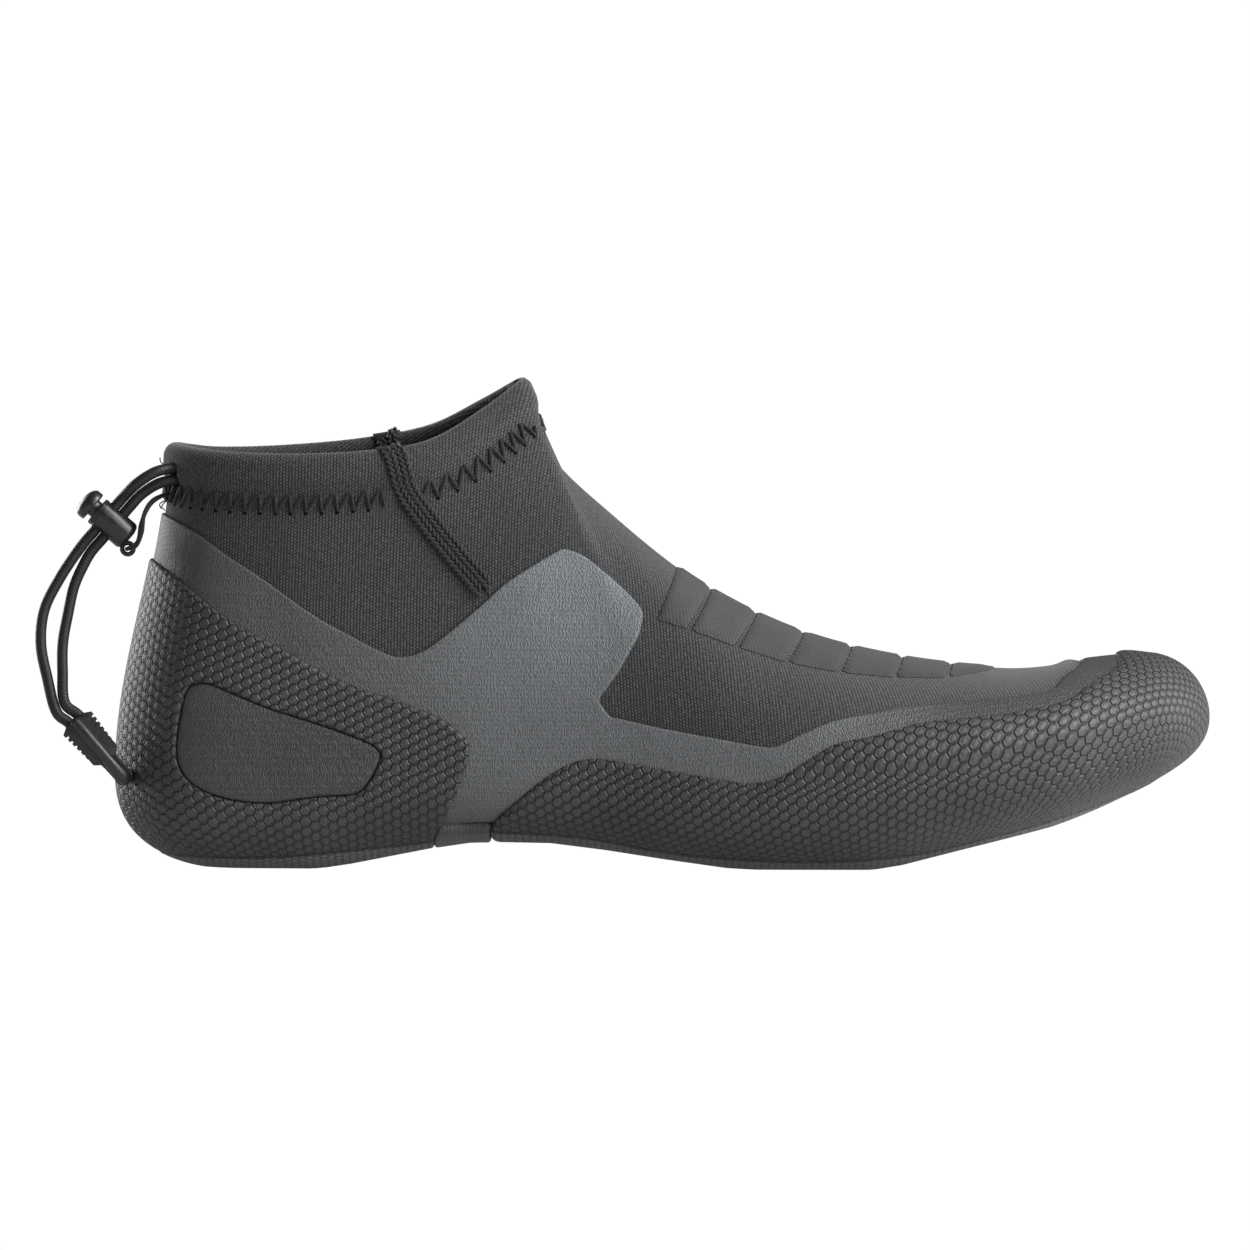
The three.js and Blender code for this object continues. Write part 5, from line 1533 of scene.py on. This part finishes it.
arch = calc(knit, "SUBTRACT", 1.0, calc(knit, "MULTIPLY", calc(knit, "POWER", off_middle, 2.0), 4.0))
height = calc(knit, "MULTIPLY", arch, calc(knit, "MULTIPLY_ADD", legs, 0.6, 0.4))
yarn = op(knit, "ShaderNodeTexNoise", vector(knit, "MULTIPLY", kin["Place"], (0.9, 1.4, 1.0)),
          None, 1.0, 2.0, 0.6, noise_dimensions="2D").outputs[0]
# The yarn's noise is mixed with the stitch height, so the hollows are painted darker as shade.
heather_and_shade = calc(knit, "MULTIPLY_ADD", calc(knit, "SUBTRACT", yarn, 0.5), 1.1, height)
knit.links.new(height, kout.inputs["Height"])
knit.links.new(calc(knit, "MAXIMUM", calc(knit, "MINIMUM", heather_and_shade, 1.0), 0.0), kout.inputs["Heather and shade"])

# %% [markdown]
# Hexagons: the plane is covered by two rectangular lattices, half a cell apart; the nearer
# centre wins, and the distance to the cell's edge is the larger of |y| and the projection
# on the slanted sides. The groove is the last tenth of a cell.

# %% Hexagon group
hexes, hin, hout = new_group("hexagons", [("Place", "NodeSocketVector", None),
                                          ("Pitch", "NodeSocketFloat", 2.64)],
                             ["Height", "Groove"])
CELL = (math.sqrt(3), 1.0, 1.0)
scaled = op(hexes, "ShaderNodeVectorMath", hin["Place"], None, None,
            calc(hexes, "DIVIDE", 1.0, hin["Pitch"]), operation="SCALE").outputs[0]


def lattice(shift):
    """Place in the nearest cell of one lattice."""
    moved = vector(hexes, "DIVIDE", vector(hexes, "ADD", scaled, shift), CELL)
    centred = vector(hexes, "SUBTRACT", vector(hexes, "FRACTION", moved), (0.5, 0.5, 0.0))
    flat = vector(hexes, "MULTIPLY", centred, (CELL[0], CELL[1], 0.0))
    return flat, op(hexes, "ShaderNodeVectorMath", flat, operation="LENGTH").outputs["Value"]


first_cell, first_gap = lattice((1000 * CELL[0], 1000.0, 0.0))
second_cell, second_gap = lattice((1000.5 * CELL[0], 1000.5, 0.0))
choose = calc(hexes, "LESS_THAN", second_gap, first_gap)
mixed = hexes.nodes.new("ShaderNodeMix")
mixed.data_type = "VECTOR"
hexes.links.new(choose, mixed.inputs[0])
hexes.links.new(first_cell, mixed.inputs[4])
hexes.links.new(second_cell, mixed.inputs[5])
corner = vector(hexes, "ABSOLUTE", mixed.outputs[1])
slope = op(hexes, "ShaderNodeVectorMath", corner, (math.sqrt(3) / 2, 0.5, 0.0),
           operation="DOT_PRODUCT").outputs["Value"]
reach = calc(hexes, "MAXIMUM", slope, op(hexes, "ShaderNodeSeparateXYZ", corner).outputs[1])
groove = step(hexes, reach, 0.40, 0.48)
ring = calc(hexes, "SUBTRACT", 1.0, step(hexes, calc(hexes, "ABSOLUTE", calc(
    hexes, "SUBTRACT", reach, 0.34)), 0.0, 0.07))
dome = calc(hexes, "MULTIPLY", calc(hexes, "POWER", reach, 2.0), 1.6)
top = calc(hexes, "ADD", calc(hexes, "SUBTRACT", 1.0, dome), calc(hexes, "MULTIPLY", ring, 0.16))
cell_height = calc(hexes, "MULTIPLY", top, calc(hexes, "SUBTRACT", 1.0, groove))
hexes.links.new(cell_height, hout.inputs["Height"])
hexes.links.new(groove, hout.inputs["Groove"])

# %% [markdown]
# Wavy grain: the film's fine embossed lines, which wander a little from side to side.

# %% Wavy grain group
grain, gin, gout = new_group("wavy grain", [("Place", "NodeSocketVector", None),
                                            ("Pitch", "NodeSocketFloat", 0.85)], ["Height"])
xyz = op(grain, "ShaderNodeSeparateXYZ", gin["Place"]).outputs
wander = calc(grain, "MULTIPLY", calc(grain, "SINE", calc(grain, "MULTIPLY", xyz[1], 3.6)), 0.16)
noise = op(grain, "ShaderNodeTexNoise", gin["Place"], None, 0.55, 1.0, 0.5,
           noise_dimensions="2D").outputs[0]
bent = calc(grain, "ADD", calc(grain, "ADD", xyz[0], wander), calc(grain, "MULTIPLY", noise, 2.4))
lines = calc(grain, "SINE", calc(grain, "MULTIPLY", calc(grain, "DIVIDE", bent, gin["Pitch"]), TAU))
beads = calc(grain, "SINE", calc(grain, "MULTIPLY", xyz[1], 5.6))
raised = calc(grain, "MULTIPLY_ADD", lines, 0.38, calc(grain, "MULTIPLY_ADD", beads, 0.12, 0.5))
grain.links.new(raised, gout.inputs["Height"])

# %% [markdown]
# Mottle: slow, faint changes of tone over the whole boot, so that no surface is one flat
# colour. It reads Object coordinates, in metres.

# %% Mottle group
mottle, mottle_in, mout = new_group("mottle", [("Place", "NodeSocketVector", None),
                                          ("Scale", "NodeSocketFloat", 45.0)], ["Tone"])
slow = op(mottle, "ShaderNodeTexNoise", mottle_in["Place"], None, mottle_in["Scale"], 3.0,
          0.6).outputs[0]
mottle.links.new(step(mottle, slow, 0.3, 0.7), mout.inputs["Tone"])
print("groups:", [g.name for g in bpy.data.node_groups])

# %% Materials


def grey(level, warmth=0.0):
    """A nearly neutral colour, a touch cooler where warmth is negative."""
    return (level * (1 + warmth), level, level * (1 - warmth), 1.0)


def tone(tree, dark, light, factor):
    """A colour between two greys by a mask."""
    node = tree.nodes.new("ShaderNodeMix")
    node.data_type = "RGBA"
    tree.links.new(factor, node.inputs[0])
    node.inputs[6].default_value = dark
    node.inputs[7].default_value = light
    return node.outputs[2]


def times(tree, color, mask, dark):
    """A colour darkened towards "dark" times itself where the mask is 1."""
    node = tree.nodes.new("ShaderNodeMix")
    node.data_type = "RGBA"
    node.blend_type = "MULTIPLY"
    tree.links.new(mask, node.inputs[0])
    tree.links.new(color, node.inputs[6])
    node.inputs[7].default_value = (dark, dark, dark, 1)
    return node.outputs[2]


def new_material(name, roughness, sheen=0.0, specular=0.5):
    """A material with its Principled shader, the surface's place in mm and in metres."""
    m = bpy.data.materials.new(name)
    m.use_nodes = True
    tree = m.node_tree
    shader = tree.nodes["Principled BSDF"]
    shader.inputs["Roughness"].default_value = roughness
    shader.inputs["Specular IOR Level"].default_value = specular
    if sheen:
        shader.inputs["Sheen Weight"].default_value = sheen
        shader.inputs["Sheen Roughness"].default_value = 0.45
    uv = op(tree, "ShaderNodeUVMap", uv_map="surface_mm").outputs[0]
    solid = op(tree, "ShaderNodeTexCoord").outputs["Object"]
    return m, tree, shader, uv, solid


def bump(tree, shader, height, depth_mm, strength=1.0, under_it=None):
    """A bump of a height that spans depth_mm, into the shader's Normal."""
    node = tree.nodes.new("ShaderNodeBump")
    node.inputs["Strength"].default_value = strength
    node.inputs["Distance"].default_value = depth_mm * MM
    tree.links.new(height, node.inputs["Height"])
    if under_it is not None:
        tree.links.new(under_it, node.inputs["Normal"])
    tree.links.new(node.outputs[0], shader.inputs["Normal"])
    return node.outputs[0]


def knit_material(name, dark, light, column=0.95, course=0.8, depth=0.22, sheen=0.2):
    """Laminated knit: heathered colour, darker in the stitches' hollows as painted shade,
    V stitches in the bump, a soft sheen.
    """
    m, tree, shader, uv, solid = new_material(name, 0.85, sheen, 0.25)
    stitches = place_group(tree, knit, Place=uv, Column=column, Course=course)
    # Painted shade: the hollows between stitches are darker, mixed with the yarn's heather.
    lit = calc(tree, "POWER", stitches["Heather and shade"], 1.5)
    color = tone(tree, grey(dark, -0.045), grey(light, -0.045), lit)
    slow = place_group(tree, mottle, Place=solid)
    tree.links.new(times(tree, color, slow["Tone"], 0.86), shader.inputs["Base Color"])
    bump(tree, shader, stitches["Height"], depth)
    return m


neoprene = knit_material("neoprene_knit", 0.017, 0.096, 0.8, 0.8, 0.14)
hem_knit = knit_material("hem_knit", 0.018, 0.096, 0.8, 0.8, 0.14)
# Painted shade: near-black lenses stand for the shade inside the needle holes.
painted_hole_shade, tree, shader, uv, solid = new_material("needle_hole_shade", 0.95, 0.0, 0.1)
hole_shade_noise = op(tree, "ShaderNodeTexNoise", solid, None, 3000.0, 2.0, 0.5).outputs[0]
tree.links.new(tone(tree, grey(0.002), grey(0.008), hole_shade_noise), shader.inputs["Base Color"])

# %% Rubber
HEX_PITCH = 2.64
HEX_DEPTH = 0.8


def rubber_material(name, level):
    """Moulded rubber: hexagons on the wall from the flattened surface, their grooves darker as
    painted shade; smaller ones under the sole, painted three times paler as light reflected
    from the white floor below; and a fine dark line where the two halves of the mould meet."""
    m, tree, shader, uv, solid = new_material(name, 0.52, 0.0, 0.45)
    wall = place_group(tree, hexes, Place=uv, Pitch=HEX_PITCH)
    flat = vector(tree, "MULTIPLY", solid, (1000, 1000, 0))
    sole = place_group(tree, hexes, Place=flat, Pitch=HEX_PITCH * 0.8)
    from_line = op(tree, "ShaderNodeAttribute", attribute_name="parting_mm").outputs["Fac"]
    on_wall = step(tree, from_line, -0.05, 0.05)
    line = calc(tree, "SUBTRACT", 1.0, step(tree, calc(tree, "ABSOLUTE", from_line), 0.1, 0.4))
    height = op(tree, "ShaderNodeMix", on_wall, None, sole["Height"], wall["Height"]).outputs[0]
    groove = op(tree, "ShaderNodeMix", on_wall, None, sole["Groove"], wall["Groove"]).outputs[0]
    slow = place_group(tree, mottle, Place=solid)
    fine = op(tree, "ShaderNodeTexNoise", solid, None, 2600.0, 2.0, 0.6).outputs[0]
    color = tone(tree, grey(level * 0.86, -0.045), grey(level * 1.14, -0.045), slow["Tone"])
    # Painted light: below the parting line the colour is three times paler, as light reflected from the
    # white floor.
    color = times(tree, color, step(tree, from_line, 0.1, -0.1), 3.0)
    # Painted shade: the grooves between the hexagons are darker.
    color = times(tree, color, groove, 0.55)
    color = times(tree, color, line, 0.45)
    tree.links.new(color, shader.inputs["Base Color"])
    tree.links.new(step(tree, fine, 0.3, 0.7, 0.45, 0.58), shader.inputs["Roughness"])
    grit = bump(tree, shader, fine, 0.03, 0.6)
    deep = calc(tree, "SUBTRACT", height, calc(tree, "MULTIPLY", line, 0.8))
    bump(tree, shader, deep, HEX_DEPTH, 1.0, grit)
    return m


rubber_finish = rubber_material("hex_rubber", 0.046)

# %% Overlay film, inlays, pads and bridge


def film_material(name, level, pitch, depth, roughness, edge=0.6, heel_shade=1.0, toe_shade=1.0):
    """Printed film: wavy embossed grain with its hollows painted darker as shade, and a darker
    edge. Painted shade: the colour is darker low down and, by the heel and toe factors, towards
    the two ends, where less light falls."""
    m, tree, shader, uv, solid = new_material(name, roughness, 0.0, 0.4)
    fine = place_group(tree, grain, Place=uv, Pitch=pitch)
    slow = place_group(tree, mottle, Place=solid)
    color = tone(tree, grey(level * 0.93, -0.045), grey(level * 1.07, -0.045), slow["Tone"])
    where = op(tree, "ShaderNodeSeparateXYZ", solid).outputs
    # Painted shade: darker low down, and towards the heel and the toes, where less light falls.
    color = times(tree, color, step(tree, where[2], 0.07, 0.03), 0.74)
    color = times(tree, color, step(tree, where[0], -0.03, -0.10), heel_shade)
    color = times(tree, color, step(tree, where[0], 0.015, 0.085), toe_shade)
    # Painted shade: the hollows of the grain are darker.
    color = times(tree, color, calc(tree, "SUBTRACT", 1.0, fine["Height"]), 0.65)
    from_edge = op(tree, "ShaderNodeAttribute", attribute_name="edge_mm").outputs["Fac"]
    rim = calc(tree, "SUBTRACT", 1.0, step(tree, from_edge, 0.05, 0.45))
    tree.links.new(times(tree, color, rim, edge), shader.inputs["Base Color"])
    bump(tree, shader, fine["Height"], depth)
    return m


overlay_film = film_material("overlay_film", 0.18, 0.85, 0.12, 0.55, 0.8, 0.45, 0.4)
inlay_film = film_material("inlay_film", 0.078, 0.85, 0.12, 0.5, 0.75)


def foam_material(name, level, roughness):
    """Pressed foam: nearly smooth, with the knit behind it faintly showing through; the knit's
    hollows are painted darker as shade.
    """
    m, tree, shader, uv, solid = new_material(name, roughness, 0.1, 0.4)
    print_through = place_group(tree, knit, Place=uv, Column=0.95, Course=0.8)
    slow = place_group(tree, mottle, Place=solid, Scale=70.0)
    fine = op(tree, "ShaderNodeTexNoise", solid, None, 1900.0, 3.0, 0.65).outputs[0]
    color = tone(tree, grey(level * 0.9, -0.045), grey(level * 1.1, -0.045), slow["Tone"])
    # Painted shade: darker in the hollows of the knit below, mixed with its heather.
    color = times(tree, color, calc(tree, "SUBTRACT", 1.0, print_through["Heather and shade"]), 0.72)
    tree.links.new(times(tree, color, step(tree, fine, 0.35, 0.65), 0.8), shader.inputs["Base Color"])
    both = calc(tree, "ADD", calc(tree, "MULTIPLY", print_through["Height"], 0.8), fine)
    bump(tree, shader, both, 0.09)
    return m


pad_foam = foam_material("pad_foam", 0.045, 0.7)
bridge_rubber = foam_material("bridge_rubber", 0.075, 0.5)

# %% Thread, tape, cord, plastic and metal


def yarn_material(name, dark, light, along, around, depth, roughness=0.75, sheen=0.3):
    """Twisted or braided yarn: two slanted waves cross, one for each lay of the braid; the
    colour is darker between the strands, as painted shade.
    """
    m, tree, shader, uv, solid = new_material(name, roughness, sheen, 0.3)
    xyz = op(tree, "ShaderNodeSeparateXYZ", uv).outputs
    a = calc(tree, "MULTIPLY", xyz[0], TAU / along)
    b = calc(tree, "MULTIPLY", xyz[1], TAU / around)
    one = calc(tree, "SINE", calc(tree, "ADD", a, b))
    two = calc(tree, "SINE", calc(tree, "SUBTRACT", a, b))
    lay = calc(tree, "MULTIPLY_ADD", calc(tree, "MAXIMUM", one, two), 0.5, 0.5)
    # Painted shade: the colour is darker where the braid is low, between the strands.
    tree.links.new(tone(tree, grey(dark), grey(light), lay), shader.inputs["Base Color"])
    bump(tree, shader, lay, depth)
    return m


cord_yarn = yarn_material("cord_braid", 0.009, 0.024, 0.9, TAU * 1.4 / 8, 0.05, 0.42, 0.0)
tether_yarn = yarn_material("tether_braid", 0.006, 0.02, 0.7, TAU * 0.55 / 4, 0.06)
thread_yarn = yarn_material("thread", 0.004, 0.016, 0.7, TAU * 0.34 / 2, 0.05)
tape_yarn = yarn_material("tape_stitch", 0.008, 0.030, 0.55, TAU * 0.42 / 3, 0.08)
tape_knit = knit_material("tape_knit", 0.005, 0.016, 0.8, 0.7, 0.12, 0.1)
lining = knit_material("insole_knit", 0.018, 0.045, 1.3, 1.1, 0.14, 0.2)


def plastic_material(name, level, roughness, specular=0.5):
    """Moulded nylon: dark, faintly mottled in gloss, with fine handling marks."""
    m, tree, shader, uv, solid = new_material(name, roughness, 0.0, specular)
    fine = op(tree, "ShaderNodeTexNoise", solid, None, 900.0, 4.0, 0.6).outputs[0]
    tree.links.new(tone(tree, grey(level * 0.8, -0.03), grey(level * 1.25, -0.03), fine),
                   shader.inputs["Base Color"])
    tree.links.new(step(tree, fine, 0.3, 0.7, roughness - 0.05, roughness + 0.08),
                   shader.inputs["Roughness"])
    bump(tree, shader, fine, 0.015, 0.5)
    return m


nylon = plastic_material("nylon", 0.012, 0.3)
clip_nylon = plastic_material("clip_nylon", 0.016, 0.36)
board_foam = plastic_material("board", 0.03, 0.9, 0.2)
steel = plastic_material("spring_steel", 0.55, 0.3)
steel.node_tree.nodes["Principled BSDF"].inputs["Metallic"].default_value = 1.0
print("materials:", len(bpy.data.materials))

# %% [markdown]
# Each piece is listed with its finish, a slot name, the moulded or sewn part it stands for,
# and the body it moves with. It gets the finish, the part it stands for is hidden, and the
# piece is attached to that body where one is given.

# %% Dress and attach the pieces
DRESS = [
    (quarter, neoprene, "neoprene", "boot", ["quarter_panel"]),
    (vamp, neoprene, "neoprene", "boot", ["vamp_panel"]),
    (hems["hem_rear"], hem_knit, "hem", "boot", ["collar_hem_rear"]),
    (hems["hem_front"], hem_knit, "hem", "boot", ["collar_hem_front"]),
    (tapes["tape_lateral"], tape_knit, "tape", "boot", ["seam_tape_lateral"]),
    (tapes["tape_medial"], tape_knit, "tape", "boot", ["seam_tape_medial"]),
    (tape_threads["stitches_lateral"], tape_yarn, "tape", "boot", []),
    (tape_threads["stitches_medial"], tape_yarn, "tape", "boot", []),
    (overlays["overlay_outer_side"], overlay_film, "overlay", "boot", ["overlay_lateral"]),
    (overlays["overlay_inner_side"], overlay_film, "overlay", "boot", ["overlay_medial"]),
    (heel_cup, rubber_finish, "rubber", "boot", ["heel_outsole"]),
    (stud, bridge_rubber, "rubber", "boot", []),
    (forefoot_cup, rubber_finish, "rubber", "boot", ["forefoot_outsole"]),
    (inlays["inlay_lateral"], inlay_film, "overlay", "boot", ["heel_pad_lateral"]),
    (inlays["inlay_medial"], inlay_film, "overlay", "boot", ["heel_pad_medial"]),
    (bridge, bridge_rubber, "overlay", "boot", ["arch_bridge"]),
    (bed, lining, "board", "boot", ["footbed"]),
    (zig_rear, thread_yarn, "hem", "boot", []),
    (zig_front, thread_yarn, "hem", "boot", []),
    (needle_holes, painted_hole_shade, "hem", "boot", []),
    (bar_tack, thread_yarn, "hem", "boot", []),
    (ends, thread_yarn, "hem", "boot", []),
    (lock, nylon, "plastic", "cord_lock", ["lock_barrel"]),
    (button, nylon, "plastic", "lock_button", ["lock_plunger"]),
    (spring, steel, "steel", "cord_lock", ["lock_spring"]),
    (web, clip_nylon, "plastic", "clip", ["clip_body"]),
    (grips["grip_lateral"], clip_nylon, "plastic", "clip", ["clip_cover_lateral"]),
    (grips["grip_medial"], clip_nylon, "plastic", "clip", ["clip_cover_medial"]),
    (cords["cord_outer"], cord_yarn, "cord", None, ["draw_cord_outer"]),
    (cords["cord_inner"], cord_yarn, "cord", None, ["draw_cord_inner"]),
    (cords["tether"], tether_yarn, "cord", None, ["lock_tether"]),
    *((p, pad_foam, "pad", "boot", [f"instep_pad_{k + 1}"]) for k, p in enumerate(pads)),
]
for o, finish, slot, body, nodes in DRESS:
    o.data.materials.clear()
    o.data.materials.append(finish)
    if nodes:
        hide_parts(*nodes)
    if body:
        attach(o, body)
for node, finish in (("sole_board", board_foam), ("draw_cord_tunnel", cord_yarn)):
    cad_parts[node].material_slots[0].material = finish
for name in ("cord_outer", "cord_inner"):
    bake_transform(cords[name])
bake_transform(cords["tether"])
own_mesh(spring)
clip_pieces = [web, grips["grip_lateral"], grips["grip_medial"]]
for name, far, lay, with_pieces in (("cord_outer", "fitting", "hanging", clip_pieces),
                                    ("cord_inner", "fitting", "hanging", [web]),
                                    ("tether", "object", "loose", [])):
    path = to_frame(cord_paths[name])

# %% [markdown]
# The set is a white room: an even sky, a pale floor, one large soft light above the toes, a
# weaker one beside the camera, and one behind each end that draws a bright edge round heel and
# toes. Sky and floor are pure white to the camera and much dimmer as lights, so that the boot
# keeps its shape.

# %% Light and floor
scene = bpy.context.scene
scene.view_settings.view_transform = "Standard"
world = bpy.data.worlds.new("white room")
world.use_nodes = True
scene.world = world
sky = world.node_tree
shade = sky.nodes["Background"]
shade.inputs["Color"].default_value = (1, 1, 1, 1)
seen = op(sky, "ShaderNodeLightPath").outputs["Is Camera Ray"]
SKY_LIGHT = 0.16
sky.links.new(calc(sky, "MULTIPLY_ADD", seen, 1.01 - SKY_LIGHT, SKY_LIGHT), shade.inputs["Strength"])


def area_light(name, place, target, size, power):
    """A soft square light that looks from one point to another."""
    data = bpy.data.lights.new(name, "AREA")
    data.shape = "SQUARE"
    data.size = size
    data.energy = power
    light = bpy.data.objects.new(name, data)
    scene.collection.objects.link(light)
    light.location = place
    light.rotation_euler = (Vector(target) - Vector(place)).to_track_quat("-Z", "Y").to_euler()
    return light


area_light("key above the toes", (1.15, -0.35, 1.05), (0.03, 0, 0.04), 0.9, 30)
area_light("front fill", (0.75, -0.75, 0.45), (0.03, 0, 0.05), 0.7, 8)
area_light("rim behind the heel", (-1.25, 1.2, 0.4), (-0.13, 0, 0.05), 1.0, 20)
area_light("rim beyond the toes", (1.3, 0.5, 0.45), (0.13, 0, 0.04), 0.8, 9)
floor_mesh = bpy.data.meshes.new("floor")
floor_mesh.from_pydata([(-6, -6, 0), (6, -6, 0), (6, 6, 0), (-6, 6, 0)], [], [(0, 1, 2, 3)])
floor = bpy.data.objects.new("floor", floor_mesh)
scene.collection.objects.link(floor)
floor.location.z = -0.0004
floor_paint, tree, shader, uv, solid = new_material("floor_paint", 0.9, 0.0, 0.1)
shader.inputs["Base Color"].default_value = (0.5, 0.5, 0.5, 1)
shader.inputs["Emission Color"].default_value = (1, 1, 1, 1)
shader.inputs["Emission Strength"].default_value = 0.2
glow = op(tree, "ShaderNodeEmission", (1, 1, 1, 1), 1.01)
mix = op(tree, "ShaderNodeMixShader", op(tree, "ShaderNodeLightPath").outputs["Is Camera Ray"],
         shader.outputs[0], glow.outputs[0])
tree.links.new(mix.outputs[0], tree.nodes["Material Output"].inputs["Surface"])
floor_mesh.materials.append(floor_paint)
